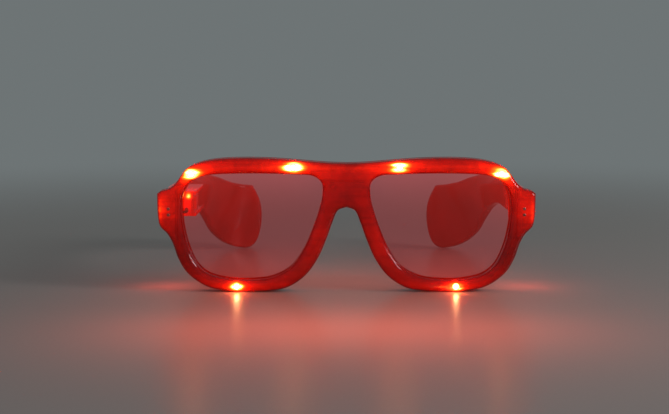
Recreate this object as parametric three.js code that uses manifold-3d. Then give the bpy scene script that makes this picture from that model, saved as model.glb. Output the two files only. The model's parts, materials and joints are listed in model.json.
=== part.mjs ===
// Flashing party glasses: a hollow translucent front with six lamps, two lenses and two folding temples.
// Millimetres, +Z up, +X to the right as seen from the front, +Y towards the ears.
// The glasses stand open on a table, on the bottoms of both rims and on the ends of both temples.
// Each shape is first made with the front face at y = 0, and the whole is centred at the end.
// Side is -1 for the left of the picture, which carries the battery, and 1 for the right.

import * as THREE from "three";
import { mergeVertices } from "three/addons/utils/BufferGeometryUtils.js";
import Module from "manifold-3d";

const wasm = await Module();
wasm.setup();

// Driving dimensions of the front
const frame_width = 150;
const frame_height = 53.5;
const shell_depth = 6;
const wall = 0.8;
const face_wall = 1.6;
const cover_depth = 2;
const edge_bevel = 0.7;
const seam = 0.2;
const overrun = 1;

// Lenses and the rebate that holds them
const lens_thickness = 1;
const lens_overlap = 0.7;
const lens_clearance = 0.2;

// Lamps, their legs and the pair of wires in the rim
const lamp_diameter = 2.6;
const lamp_flange_overlap = 0.15;
const lamp_flange_thickness = 0.8;
const lamp_proud = 1;
const lamp_clearance = 0.15;
const flange_clearance = 0.1;
const leg_size = 0.45;
const leg_wire_gap = 0.3;
const leg_pitch = 1.3;
const wire_diameter = 0.7;
const wire_gap = 0.3;
const wire_middle = 2.2;
const wire_pitch = 1.1;

// Hinges
const hinge_inset = 6.2;
const hinge_setback = 14;
const knuckle_radius = 2.6;
const knuckle_gap = 0.3;
const screw_diameter = 2;
const screw_clearance = 0.2;
const screw_head_diameter = 3.4;
const screw_head_height = 0.8;
const ear_height = 4;
const ear_below_temple = 3;
const knuckle_height = 7.4;
const cheek_side_gap = 1;
const cheek_gap = 0.4;
const cheek_height = 10.2;
const cheek_below_temple = 0.8;
const slot_width = 0.6;
const slot_depth = 0.4;

// Temples
const temple_thickness = 4.6;
const temple_below_brow = 13.5;
const temple_outer_inset = 1.1;
const temple_start_gap = 0.5;
const temple_wall = 1.2;
const channel_start = 1.4;
const channel_end_gap = 5.2;
const channel_depth = 3.4;
const cover_thickness = 1;
const cover_fit = 0.2;
const ear_end_height = 31;
const ear_end_thickness = 3.8;
const ear_tip_height = 15.2;
const ear_reach = 135;
const ear_curl = 31;
const temple_corner = 1.6;
const tip_rounding = 7;

// Battery box on the left temple's inner cover
const box_front_gap = 2.2;
const box_wall = 1;
const rail_wall = 0.6;
const rail_lip = 0.8;
const door_thickness = 0.8;
const door_overlap = 0.6;
const door_fit = 0.25;
const door_play = 0.3;
const door_margin = 1.4;
const grip_height = 0.8;
const grip_width = 1;
const grip_length = 5;
const grip_count = 3;
const door_inset = 0.5;
const spring_length = 2;

// Button cells and their contacts
const cell_count = 3;
const cell_diameter = 7.9;
const cell_thickness = 3.6;
const cell_rim = 0.5;
const cell_gap = 0.3;
const cell_side_gap = 0.25;
const cell_top_gap = 0.15;
const contact_thickness = 0.3;
const contact_back_gap = 0.6;
const spring_wire = 0.5;
const spring_turns = 2;

// Flasher board, its chip, the switch and the push button
const board_length = 15;
const board_thickness = 0.8;
const board_margin = 0.3;
const chip_diameter = 4;
const chip_height = 1;
const chip_gap = 0.5;
const switch_width = 4.5;
const switch_height = 3;
const plunger_diameter = 2.2;
const plunger_height = 0.9;
const press_gap = 0.85;
const button_diameter = 5;
const button_flange = 0.7;
const button_flange_overlap = 0.7;
const button_proud = 1.1;
const button_clearance = 0.25;

// Screws that hold the shell and its cover together at the bridge
const screw_spread = 5.5;
const screw_below_brow = 11.5;
const bridge_screw_diameter = 1.6;
const bridge_screw_clearance = 0.15;
const bridge_head_diameter = 3;
const bridge_head_height = 1;
const post_diameter = 3.4;

// Rivets in the lugs
const rivet_inset = 4.6;
const rivet_spacing = 2.4;
const rivet_lowering = 1.3;
const rivet_diameter = 0.8;
const rivet_head_diameter = 1.3;
const rivet_head_height = 0.3;
const rivet_clearance = 0.1;
const rivet_length = 1.4;

// The lead across the hinge
const lead_diameter = 1.2;
const lead_above_ear = 3;
const lead_above_cover = 2.6;
const lead_inset = 2;
const lead_side_gap = 1;

// Moulded nose pads
const pad_width = 4.4;
const pad_depth = 8;
const pad_height = 15;
const pad_centre_height = 20;
const pad_tilt = Math.PI / 10;

// Outlines of the right half, as shares of half the width and of the height
const brow_shares = [
  [0, 0.961], [0.093, 0.965], [0.215, 0.978], [0.385, 0.996], [0.58, 1], [0.71, 0.987], [0.787, 0.961],
  [0.839, 0.925], [0.871, 0.873], [0.9, 0.815], [0.935, 0.775], [0.98, 0.757],
];
const cheek_shares = [
  [1, 0.735], [1, 0.66], [0.996, 0.55], [0.985, 0.49], [0.948, 0.435], [0.92, 0.365], [0.893, 0.255],
  [0.845, 0.143], [0.745, 0.042], [0.63, 0.004],
];
const base_shares = [[0.6, 0], [0.5, 0]];
const inner_shares = [
  [0.43, 0.004], [0.319, 0.03], [0.223, 0.115], [0.155, 0.241], [0.105, 0.398], [0.073, 0.523],
  [0.044, 0.61], [0, 0.634],
];
const opening_shares = [
  [0.869, 0.66], [0.865, 0.514], [0.836, 0.336], [0.789, 0.202], [0.729, 0.133], [0.617, 0.094],
  [0.511, 0.09], [0.396, 0.11], [0.296, 0.184], [0.228, 0.314], [0.179, 0.469], [0.145, 0.609],
  [0.127, 0.72], [0.131, 0.815], [0.176, 0.864], [0.267, 0.876], [0.6, 0.882], [0.755, 0.864],
  [0.822, 0.82], [0.857, 0.745],
];
const lamp_places = [
  { name: "outer", across_share: 0.817, top: true },
  { name: "inner", across_share: 0.28, top: true },
  { name: "bottom", across_share: 0.581, top: false },
];

const temple_path_shares = [
  [0, 0, 0], [0.2, 0, 0], [0.4, 0, 0], [0.56, 0.015, 0], [0.68, 0.06, 0.08], [0.78, 0.15, 0.22],
  [0.86, 0.275, 0.46], [0.92, 0.43, 0.73], [0.963, 0.61, 0.91], [0.988, 0.8, 0.985], [1, 1, 1],
];
const taper_start_share = 0.55;
const taper_end_share = 0.95;
const tip_end_share = 0.15;
const lead_share = 0.75;

// Worked-out sizes
const half_width = frame_width / 2;
const cover_front = shell_depth + seam;
const cover_back = cover_front + cover_depth;
const lamp_flange_diameter = lamp_diameter + 2 * lamp_flange_overlap;
const flange_back = face_wall + lamp_clearance + lamp_flange_thickness;
const wire_front = cover_front - wire_gap - wire_diameter;
const temple_height = cell_diameter + 2 * (cell_top_gap + box_wall + cover_fit + temple_wall);
const temple_top = frame_height - temple_below_brow;
const temple_bottom = temple_top - temple_height;
const temple_centre_height = temple_bottom + temple_height / 2;
const lower_ear_bottom = temple_bottom - ear_below_temple;
const upper_ear_bottom = lower_ear_bottom + ear_height + knuckle_height + 2 * knuckle_gap;
const cheek_top = temple_top - cheek_below_temple;
const cheek_bottom = cheek_top - cheek_height;
const ear_drop = temple_centre_height - ear_tip_height;
const bridge_screw_height = frame_height - screw_below_brow;
const hinge_x = half_width - hinge_inset;
const cheek_thickness = hinge_inset - knuckle_radius - cheek_side_gap;
const cheek_back = hinge_setback + knuckle_radius + cheek_gap;
const temple_start = cheek_back + temple_start_gap;
const temple_outer = half_width - temple_outer_inset;
const temple_inner = temple_outer - temple_thickness;
const temple_middle = (temple_outer + temple_inner) / 2;
const rivet_x = half_width - rivet_inset;
const rivet_middle = temple_centre_height - rivet_lowering;
const rivet_heights = [rivet_middle - rivet_spacing / 2, rivet_middle + rivet_spacing / 2];
const cover_bottom = temple_bottom + temple_wall + cover_fit;
const cover_top = temple_top - temple_wall - cover_fit;
const box_start = temple_start + box_front_gap;
const switch_stack = switch_height + plunger_height + press_gap + button_flange + button_clearance;
const board_stack = chip_gap + chip_height + board_thickness + 2 * cover_fit + switch_stack;
const cavity_width = Math.max(cell_diameter + 2 * cell_side_gap, board_stack);
const box_projection = cavity_width + box_wall - channel_depth;
const box_inner = temple_inner - box_projection;
const lead_height = lower_ear_bottom + ear_height + lead_above_ear;
const lead_entry = [box_inner + lead_inset, cover_bottom + lead_above_cover];
const cell_x = (box_inner + box_wall + temple_inner + channel_depth) / 2;
const cells_start = box_start + box_wall + cover_fit + contact_thickness + spring_length + cell_gap;
const cells_end = cells_start + cell_count * (cell_thickness + cell_gap);
const box_partition = cells_end + contact_thickness + contact_back_gap - box_start;
const box_length = box_partition + board_length + 2 * (box_wall + board_margin);
const channel_front = temple_start + channel_start;
const channel_length = box_start + box_length + channel_end_gap - channel_front;
const rail_height = seam + door_thickness + door_play + rail_wall;
const door_start = box_start + door_inset;
const door_length = box_partition + door_overlap;
const board_start = box_start + box_partition + box_wall + board_margin;
const board_end = board_start + board_length;
const board_x = temple_inner + channel_depth - switch_stack - cover_fit - board_thickness;
const button_y = (board_start + board_end) / 2;

const red_plastic = new THREE.MeshStandardMaterial({ color: 0xc8160a, roughness: 0.15, metalness: 0 });
const dark_plastic = new THREE.MeshStandardMaterial({ color: 0x8f0f08, roughness: 0.25, metalness: 0 });
const lens_plastic = new THREE.MeshStandardMaterial({ color: 0xe8cfd0, roughness: 0.05, metalness: 0 });
const lamp_plastic = new THREE.MeshStandardMaterial({ color: 0xff5a1e, roughness: 0.1, metalness: 0 });
const red_wire = new THREE.MeshStandardMaterial({ color: 0xb01010, roughness: 0.5, metalness: 0 });
const black_wire = new THREE.MeshStandardMaterial({ color: 0x181818, roughness: 0.5, metalness: 0 });
const steel = new THREE.MeshStandardMaterial({ color: 0xc4c6c8, roughness: 0.3, metalness: 1 });
const cell_steel = new THREE.MeshStandardMaterial({ color: 0xd2d3d4, roughness: 0.25, metalness: 1 });
const board_green = new THREE.MeshStandardMaterial({ color: 0x1f6b35, roughness: 0.5, metalness: 0 });
const black_resin = new THREE.MeshStandardMaterial({ color: 0x101010, roughness: 0.35, metalness: 0 });
const white_plastic = new THREE.MeshStandardMaterial({ color: 0xe9e6df, roughness: 0.4, metalness: 0 });

// Solids: a geometry becomes a solid to be joined and cut, and is turned back into a geometry at the end

function solid(geometry) {
  const bare = geometry.index ? geometry.toNonIndexed() : geometry.clone();
  bare.deleteAttribute("normal");
  bare.deleteAttribute("uv");
  const merged = mergeVertices(bare, frame_width / 1e7);
  return new wasm.Manifold(new wasm.Mesh({
    numProp: 3,
    vertProperties: new Float32Array(merged.attributes.position.array),
    triVerts: new Uint32Array(merged.index.array),
  }));
}

// The same shape on the other side of x = 0
function mirrored(geometry) {
  const other = geometry.index ? geometry.toNonIndexed() : geometry.clone();
  other.deleteAttribute("normal");
  other.deleteAttribute("uv");
  const place = other.attributes.position;
  const corner = [new THREE.Vector3(), new THREE.Vector3(), new THREE.Vector3()];
  for (let i = 0; i < place.count; i += 3) {
    corner.forEach((point, k) => point.fromBufferAttribute(place, i + k));
    corner.reverse().forEach((point, k) => place.setXYZ(i + k, -point.x, point.y, point.z));
    corner.reverse();
  }
  const merged = mergeVertices(other, frame_width / 1e7);
  merged.computeVertexNormals();
  return merged;
}

function geometryOf(body) {
  const mesh = body.getMesh();
  const geometry = new THREE.BufferGeometry();
  const places = new Float32Array(mesh.numVert * 3);
  for (let i = 0; i < mesh.numVert; i += 1) {
    for (let k = 0; k < 3; k += 1) places[3 * i + k] = mesh.vertProperties[mesh.numProp * i + k];
  }
  geometry.setAttribute("position", new THREE.BufferAttribute(places, 3));
  geometry.setIndex([...mesh.triVerts]);
  geometry.computeVertexNormals();
  return geometry;
}

// A block between two corners, in any order
function block(a, b) {
  const low = a.map((value, k) => Math.min(value, b[k]));
  const high = a.map((value, k) => Math.max(value, b[k]));
  const size = high.map((value, k) => value - low[k]);
  const geometry = new THREE.BoxGeometry(...size);
  geometry.translate(...low.map((value, k) => value + size[k] / 2));
  return solid(geometry);
}

// A round bar from one end to the other along x, y or z
function bar(axis, from, to, centre, diameter, sides = 20) {
  const length = Math.abs(to - from);
  const geometry = new THREE.CylinderGeometry(diameter / 2, diameter / 2, length, sides);
  const middle = (from + to) / 2;
  if (axis === "x") {
    geometry.rotateZ(Math.PI / 2);
    geometry.translate(middle, centre[0], centre[1]);
  } else if (axis === "y") {
    geometry.translate(centre[0], middle, centre[1]);
  } else {
    geometry.rotateX(Math.PI / 2);
    geometry.translate(centre[0], centre[1], middle);
  }
  return solid(geometry);
}

// Outlines, as lists of points in x and z

function smooth(points, steps) {
  const places = points.map(([x, z]) => new THREE.Vector3(x, 0, z));
  const curve = new THREE.CatmullRomCurve3(places, false, "centripetal");
  return curve.getPoints(steps).map((p) => [p.x, p.z]);
}

function scaled(shares) {
  return shares.map(([across, up]) => [across * half_width, up * frame_height]);
}

function frameOutline() {
  const right = [
    ...smooth(scaled(brow_shares), 15),
    ...smooth(scaled(cheek_shares), 16),
    ...scaled(base_shares),
    ...smooth(scaled(inner_shares), 12),
  ];
  const left = right.slice(1, -1).reverse().map(([x, z]) => [-x, z]);
  return [...right, ...left];
}

function openingOutline(side) {
  const points = scaled(opening_shares).map(([x, z]) => new THREE.Vector3(x, 0, z));
  const curve = new THREE.CatmullRomCurve3(points, true, "centripetal");
  const outline = curve.getPoints(34).slice(0, -1).map((p) => [side * p.x, p.z]);
  return side > 0 ? outline : outline.reverse();
}

// Moves each edge of a closed outline, that runs clockwise in x and z, outward by a distance
function offset(outline, distance) {
  const count = outline.length;
  return outline.map((point, i) => {
    const before = outline[(i + count - 1) % count];
    const after = outline[(i + 1) % count];
    const a = new THREE.Vector2(point[0] - before[0], point[1] - before[1]).normalize();
    const b = new THREE.Vector2(after[0] - point[0], after[1] - point[1]).normalize();
    const normal = new THREE.Vector2(-(a.y + b.y), a.x + b.x).normalize();
    const reach = distance / Math.max(normal.dot(new THREE.Vector2(-a.y, a.x)), 1 / 2);
    return [point[0] + normal.x * reach, point[1] + normal.y * reach];
  });
}

// A flat piece of the given outline and holes between two depths, with its edges bevelled if asked
function plate(outline, holes, front, back, bevel = 0) {
  const shape = new THREE.Shape(outline.map(([x, z]) => new THREE.Vector2(x, -z)));
  shape.holes = holes.map((hole) => new THREE.Path(hole.map(([x, z]) => new THREE.Vector2(x, -z))));
  const geometry = new THREE.ExtrudeGeometry(shape, {
    depth: back - front - 2 * bevel,
    bevelEnabled: bevel > 0,
    bevelSize: bevel,
    bevelThickness: bevel,
    bevelOffset: -bevel,
    bevelSegments: 1,
    curveSegments: 1,
  });
  geometry.rotateX(-Math.PI / 2);
  geometry.translate(0, front + bevel, 0);
  return solid(geometry);
}

const outline = frameOutline();
const openings = [openingOutline(-1), openingOutline(1)];

// Height of the middle of the rim above or below the right opening, at a distance across
function rimMiddle(across, top) {
  const crossing = (loop) => {
    const heights = [];
    loop.forEach((point, i) => {
      const next = loop[(i + 1) % loop.length];
      if ((point[0] - across) * (next[0] - across) > 0 || point[0] === next[0]) return;
      const share = (across - point[0]) / (next[0] - point[0]);
      heights.push(point[1] + share * (next[1] - point[1]));
    });
    return top ? Math.max(...heights) : Math.min(...heights);
  };
  return (crossing(outline) + crossing(openings[1])) / 2;
}

const lamps = lamp_places.map(({ name, across_share, top }) => {
  const x = across_share * half_width;
  return { name, x, z: rimMiddle(x, top) };
});

function grownOpenings(distance) {
  return openings.map((hole) => offset(hole, distance));
}

// Distance from the centre to the middle of the rim beside the nose, at a height
function rimSide(height) {
  const nearest = (loop) => {
    const places = loop.filter((point, i) => {
      const next = loop[(i + 1) % loop.length];
      return point[0] > 0 && (point[1] - height) * (next[1] - height) <= 0;
    });
    return Math.min(...places.map((point) => point[0]));
  };
  return (nearest(outline) + nearest(openings[1])) / 2;
}

// Front shell: an open-backed channel, with a hole for each lamp and rivet and a post for each bridge screw
function frontShell() {
  const rim = plate(outline, openings, 0, shell_depth, edge_bevel);
  const channel = plate(offset(outline, -wall), grownOpenings(wall), face_wall, shell_depth + overrun);
  let shell = rim.subtract(channel);
  for (const side of [-1, 1]) {
    const screw_place = [side * screw_spread, bridge_screw_height];
    shell = shell.add(bar("y", face_wall / 2, shell_depth, screw_place, post_diameter, 16));
    const pilot = bridge_screw_diameter + 2 * bridge_screw_clearance;
    shell = shell.subtract(bar("y", face_wall, shell_depth + overrun, screw_place, pilot, 12));
    for (const lamp of lamps) {
      const hole = lamp_diameter + 2 * lamp_clearance;
      const place = [side * lamp.x, lamp.z];
      const seat = lamp_flange_diameter + 2 * flange_clearance;
      shell = shell.subtract(bar("y", -overrun, face_wall + overrun, place, hole, 16));
      shell = shell.subtract(bar("y", face_wall, shell_depth + overrun, place, seat, 16));
    }
    for (const height of rivet_heights) {
      const hole = rivet_diameter + 2 * rivet_clearance;
      shell = shell.subtract(bar("y", -overrun, face_wall + overrun, [side * rivet_x, height], hole, 10));
    }
  }
  return shell;
}

// A smooth pad that grows out of the rim beside the nose
function nosePad() {
  const pad = new THREE.SphereGeometry(1, 16, 10);
  pad.scale(pad_width / 2, pad_depth / 2, pad_height / 2);
  pad.rotateY(-pad_tilt);
  pad.translate(rimSide(pad_centre_height), cover_back, pad_centre_height);
  const front = block([0, -pad_depth, 0], [half_width, cover_back - cover_depth / 2, frame_height]);
  return solid(pad).subtract(front);
}

// Rear cover: closes the channel, traps the lenses and carries the hinge ears, the cheeks and the nose pads
function rearCover() {
  const bite = cover_depth / 2;
  let half = nosePad();
  for (const bottom of [lower_ear_bottom, upper_ear_bottom]) {
    const top = bottom + ear_height;
    half = half.add(bar("z", bottom, top, [hinge_x, hinge_setback], 2 * knuckle_radius, 24));
    half = half.add(block(
      [hinge_x - knuckle_radius, cover_back - bite, bottom],
      [hinge_x + knuckle_radius, hinge_setback, top],
    ));
  }
  half = half.add(block(
    [half_width - cheek_thickness, cover_back - bite, cheek_bottom],
    [half_width, cheek_back, cheek_top],
  ));
  const whole = half.add(solid(mirrored(geometryOf(half))));
  let cover = plate(outline, openings, cover_front, cover_back, edge_bevel / 2).add(whole);
  const rebate_back = cover_front + lens_thickness + lens_clearance;
  for (const rebate of grownOpenings(lens_overlap + lens_clearance)) {
    cover = cover.subtract(plate(rebate, [], cover_front - overrun, rebate_back));
  }
  const hinge_bore = screw_diameter + 2 * screw_clearance;
  const bore_bottom = lower_ear_bottom - overrun;
  const bore_top = upper_ear_bottom + ear_height + overrun;
  for (const side of [-1, 1]) {
    const hinge_place = [side * hinge_x, hinge_setback];
    cover = cover.subtract(bar("z", bore_bottom, bore_top, hinge_place, hinge_bore, 16));
    const screw_place = [side * screw_spread, bridge_screw_height];
    const clear = bridge_screw_diameter + 2 * bridge_screw_clearance;
    cover = cover.subtract(bar("y", cover_front - overrun, cover_back + overrun, screw_place, clear, 12));
    const sunk = bridge_head_diameter + 2 * bridge_screw_clearance;
    const seat = cover_back - bridge_head_height;
    cover = cover.subtract(bar("y", seat, cover_back + overrun, screw_place, sunk, 16));
  }
  const lead_hole = lead_diameter + 2 * wire_gap;
  const lead_place = [-hinge_x, lead_height];
  return cover.subtract(bar("y", cover_front - overrun, cover_back + overrun, lead_place, lead_hole, 12));
}

function lens(side) {
  const edge = grownOpenings(lens_overlap)[side < 0 ? 0 : 1];
  return plate(edge, [], cover_front, cover_front + lens_thickness);
}

// A lamp: a round-nosed cylinder with a flange that bears on the inside of the face wall, and its two legs
function lampBody(lamp) {
  const radius = lamp_diameter / 2;
  const flange = lamp_flange_diameter / 2;
  const shoulder = lamp_flange_thickness - flange_back;
  const profile = [[0, -flange_back], [flange, -flange_back], [flange, shoulder], [radius, shoulder]];
  const dome_steps = 3;
  for (let i = 0; i < dome_steps; i += 1) {
    const turn = (i / dome_steps) * (Math.PI / 2);
    profile.push([radius * Math.cos(turn), lamp_proud - radius * (1 - Math.sin(turn))]);
  }
  profile.push([0, lamp_proud]);
  const body = new THREE.LatheGeometry(profile.map(([r, y]) => new THREE.Vector2(r, y)), 12);
  body.rotateX(Math.PI);
  body.translate(lamp.x, 0, lamp.z);
  let whole = solid(body);
  for (const step of [-1, 1]) {
    const x = lamp.x + (step * leg_pitch) / 2;
    whole = whole.add(block(
      [x - leg_size / 2, flange_back - leg_size, lamp.z - leg_size / 2],
      [x + leg_size / 2, wire_front - leg_wire_gap, lamp.z + leg_size / 2],
    ));
  }
  return whole;
}

// A round tube along a smooth line through points
function tube(points, diameter, steps, sides = 6) {
  const extrudePath = new THREE.CatmullRomCurve3(points.map((p) => new THREE.Vector3(...p)), false, "centripetal");
  const section = [];
  for (let i = 0; i < sides; i += 1) {
    const turn = (i / sides) * 2 * Math.PI;
    section.push(new THREE.Vector2(Math.cos(turn), Math.sin(turn)).multiplyScalar(diameter / 2));
  }
  return new THREE.ExtrudeGeometry(new THREE.Shape(section), { steps, extrudePath, bevelEnabled: false });
}

// One wire of the pair, from one bottom lamp round its lug, along the brow and down to the other bottom lamp
function rimWire(distance) {
  const loop = offset(openings[1], distance);
  const [, inner, bottom] = lamps;
  const depth = wire_front + wire_diameter / 2;
  const start = loop.findIndex(([x, z]) => x < bottom.x && z < frame_height / 2);
  const up = loop.slice(0, start).reverse();
  const end_x = inner.x - 2 * lamp_diameter;
  const along = loop.filter(([x, z], i) => i > start && z > frame_height / 2 && x > end_x);
  const right = [...up, ...along.reverse()].map(([x, z]) => [x, depth, z]);
  const left = right.map(([x, y, z]) => [-x, y, z]).reverse();
  return tube([...right, ...left], wire_diameter, 84, 5);
}

function rivets() {
  return rivet_heights.map((height) => {
    const place = [rivet_x, height];
    const shank = bar("y", -rivet_head_height, face_wall + rivet_length, place, rivet_diameter, 10);
    const head_front = -rivet_head_height - rivet_clearance;
    return shank.add(bar("y", head_front, -rivet_clearance, place, rivet_head_diameter, 12));
  });
}

function bridgeScrew() {
  const place = [screw_spread, bridge_screw_height];
  const head_back = cover_back - seam / 2;
  const head_front = cover_back - bridge_head_height + bridge_screw_clearance;
  const head = bar("y", head_front, head_back, place, bridge_head_diameter, 16);
  const slot = block(
    [screw_spread - bridge_head_diameter, head_back - slot_depth, bridge_screw_height - slot_width / 2],
    [screw_spread + bridge_head_diameter, head_back + overrun, bridge_screw_height + slot_width / 2],
  );
  const shank_front = face_wall + bridge_screw_clearance;
  const shank_back = head_front + slot_depth / 2;
  return head.subtract(slot).add(bar("y", shank_front, shank_back, place, bridge_screw_diameter, 12));
}

function hingeScrew() {
  const place = [hinge_x, hinge_setback];
  const head_bottom = upper_ear_bottom + ear_height + screw_clearance;
  const head_top = head_bottom + screw_head_height;
  const slot = block(
    [hinge_x - screw_head_diameter, hinge_setback - slot_width / 2, head_top - slot_depth],
    [hinge_x + screw_head_diameter, hinge_setback + slot_width / 2, head_top + overrun],
  );
  const head = bar("z", head_bottom, head_top, place, screw_head_diameter, 16).subtract(slot);
  const shank_bottom = lower_ear_bottom + screw_clearance;
  return head.add(bar("z", shank_bottom, head_bottom + slot_depth / 2, place, screw_diameter, 16));
}

// Temple: rounded sections carried along a line that is straight to the bend, then curls inward and down
function templeLoft() {
  const run = ear_reach - temple_start;
  const path = new THREE.CatmullRomCurve3(temple_path_shares.map(([along, inward, down]) => new THREE.Vector3(
    temple_middle - inward * ear_curl,
    temple_start + along * run,
    temple_centre_height - down * ear_drop,
  )), false, "centripetal");
  const up = new THREE.Vector3(0, 0, 1);
  const places = [];
  const sides = 16;
  const stations = 24;
  const tip_stations = 5;
  const shares = [];
  const rounding_share = tip_rounding / path.getLength();
  for (let i = 0; i < stations; i += 1) shares.push((i / stations) * (1 - rounding_share));
  for (let i = 0; i <= tip_stations; i += 1) {
    const turn = (i / tip_stations) * (Math.PI / 2);
    shares.push(1 - rounding_share * (1 - Math.sin(turn)));
  }
  for (const share of shares) {
    const centre = path.getPointAt(share);
    const ahead = path.getTangentAt(share);
    const out = new THREE.Vector3().crossVectors(ahead, up).normalize();
    const rise = new THREE.Vector3().crossVectors(out, ahead);
    const bend = THREE.MathUtils.smoothstep(share, taper_start_share, taper_end_share);
    const left = (1 - share) * path.getLength();
    const gone = Math.max(1 - left / tip_rounding, 0);
    const close = Math.max(Math.sqrt(1 - Math.min(gone, 1) ** 2), tip_end_share);
    const thickness = THREE.MathUtils.lerp(temple_thickness, ear_end_thickness, bend) * close;
    const height = THREE.MathUtils.lerp(temple_height, ear_end_height, bend) * close;
    const corner = Math.min(temple_corner, thickness / 2, height / 2);
    for (let k = 0; k < sides; k += 1) {
      const quarter = Math.floor(k / 4);
      const turn = ((quarter + (k % 4) / 3) * Math.PI) / 2;
      const outward = quarter === 0 || quarter === 3 ? 1 : -1;
      const upward = quarter < 2 ? 1 : -1;
      const across = outward * (thickness / 2 - corner) + corner * Math.cos(turn);
      const above = upward * (height / 2 - corner) + corner * Math.sin(turn);
      const place = centre.clone().addScaledVector(out, across).addScaledVector(rise, above);
      places.push(place.x, place.y, place.z);
    }
  }
  const faces = [];
  for (let i = 0; i < shares.length - 1; i += 1) {
    for (let k = 0; k < sides; k += 1) {
      const a = i * sides + k;
      const b = i * sides + ((k + 1) % sides);
      faces.push(a, a + sides, b, b, a + sides, b + sides);
    }
  }
  for (let k = 1; k < sides - 1; k += 1) {
    const end = (shares.length - 1) * sides;
    faces.push(0, k, k + 1, end, end + k + 1, end + k);
  }
  const geometry = new THREE.BufferGeometry();
  geometry.setAttribute("position", new THREE.Float32BufferAttribute(places, 3));
  geometry.setIndex(faces);
  return geometry;
}

// Temple shell: hollow near the hinge, solid at the ear end, with the middle knuckle at its front
function templeShell(powered) {
  const body = solid(templeLoft());
  const table = block([0, 0, -temple_height], [frame_width, 2 * frame_width, 0]);
  let shell = body.subtract(table);
  shell = shell.subtract(block(
    [temple_inner - overrun, channel_front, temple_bottom + temple_wall],
    [temple_inner + channel_depth, channel_front + channel_length, temple_top - temple_wall],
  ));
  const knuckle_bottom = lower_ear_bottom + ear_height + knuckle_gap;
  const knuckle_top = upper_ear_bottom - knuckle_gap;
  const place = [hinge_x, hinge_setback];
  shell = shell.add(bar("z", knuckle_bottom, knuckle_top, place, 2 * knuckle_radius, 24));
  shell = shell.add(block(
    [hinge_x - knuckle_radius, hinge_setback, knuckle_bottom],
    [hinge_x + knuckle_radius, temple_start + temple_wall / 2, knuckle_top],
  ));
  const hinge_bore = screw_diameter + 2 * screw_clearance;
  shell = shell.subtract(bar("z", knuckle_bottom - overrun, knuckle_top + overrun, place, hinge_bore, 16));
  if (powered) {
    const hole = button_diameter + 2 * button_clearance;
    const button_place = [button_y, temple_centre_height];
    const hole_inner = temple_inner + channel_depth - overrun;
    shell = shell.subtract(bar("x", hole_inner, temple_outer + overrun, button_place, hole, 24));
  }
  return shell;
}

// The plate that closes the hollow of a temple from the head's side
function coverPlate() {
  return block(
    [temple_inner, channel_front + cover_fit, cover_bottom],
    [temple_inner + cover_thickness, channel_front + channel_length - cover_fit, cover_top],
  );
}

// The powered temple's cover: the plate with a battery box, a switch chamber and rails for the sliding door
function batteryCover() {
  const box_end = box_start + box_length;
  const outer_face = temple_inner + cover_thickness;
  let cover = coverPlate().add(block([box_inner, box_start, cover_bottom], [outer_face, box_end, cover_top]));
  const chamber = (from, to) => block(
    [box_inner + box_wall, from, cover_bottom + box_wall],
    [outer_face + overrun, to, cover_top - box_wall],
  );
  cover = cover.subtract(chamber(box_start + box_wall, box_start + box_partition));
  cover = cover.subtract(chamber(box_start + box_partition + box_wall, box_end - box_wall));
  const window_end = box_start + box_partition - box_wall;
  cover = cover.subtract(block(
    [box_inner - overrun, box_start + 2 * box_wall, cover_bottom + box_wall + door_margin],
    [box_inner + box_wall + overrun, window_end, cover_top - box_wall - door_margin],
  ));
  const rail_face = box_inner - rail_height;
  for (const [edge, inward] of [[cover_bottom, 1], [cover_top, -1]]) {
    const wall_inner = edge + inward * rail_wall;
    cover = cover.add(block([rail_face, box_start, edge], [box_inner + box_wall / 2, box_end, wall_inner]));
    cover = cover.add(block(
      [rail_face, box_start, edge],
      [rail_face + rail_wall, box_end, wall_inner + inward * rail_lip],
    ));
  }
  const hole = lead_diameter + 2 * wire_gap;
  return cover.subtract(bar("y", box_start - overrun, box_start + box_wall + overrun, lead_entry, hole, 12));
}

function batteryDoor() {
  const low = cover_bottom + rail_wall + door_fit;
  const high = cover_top - rail_wall - door_fit;
  const back = box_inner - seam;
  const front = back - door_thickness;
  let door = block([front, door_start, low], [back, door_start + door_length, high]);
  for (let i = 0; i < grip_count; i += 1) {
    const y = door_start + grip_width + 2 * grip_width * i;
    door = door.add(block(
      [front - grip_height, y, temple_centre_height - grip_length / 2],
      [front + door_thickness / 2, y + grip_width, temple_centre_height + grip_length / 2],
    ));
  }
  return door;
}

// A button cell standing on edge: a can with a narrower cap towards the hinge
function cell(index) {
  const radius = cell_diameter / 2;
  const cap = radius - cell_rim;
  const step = cell_thickness - cell_rim;
  const can = [[0, 0], [radius, 0], [radius, step]];
  const profile = [...can, [cap, step], [cap, cell_thickness], [0, cell_thickness]];
  const body = new THREE.LatheGeometry(profile.map(([r, y]) => new THREE.Vector2(r, y)), 16);
  body.rotateX(Math.PI);
  const back = cells_start + cell_thickness + index * (cell_thickness + cell_gap);
  body.translate(cell_x, back, temple_centre_height);
  return solid(body);
}

function contactPlate(front) {
  const half = (cell_diameter - 2 * cell_rim) / 2;
  return block(
    [cell_x - half, front, temple_centre_height - half],
    [cell_x + half, front + contact_thickness, temple_centre_height + half],
  );
}

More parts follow.
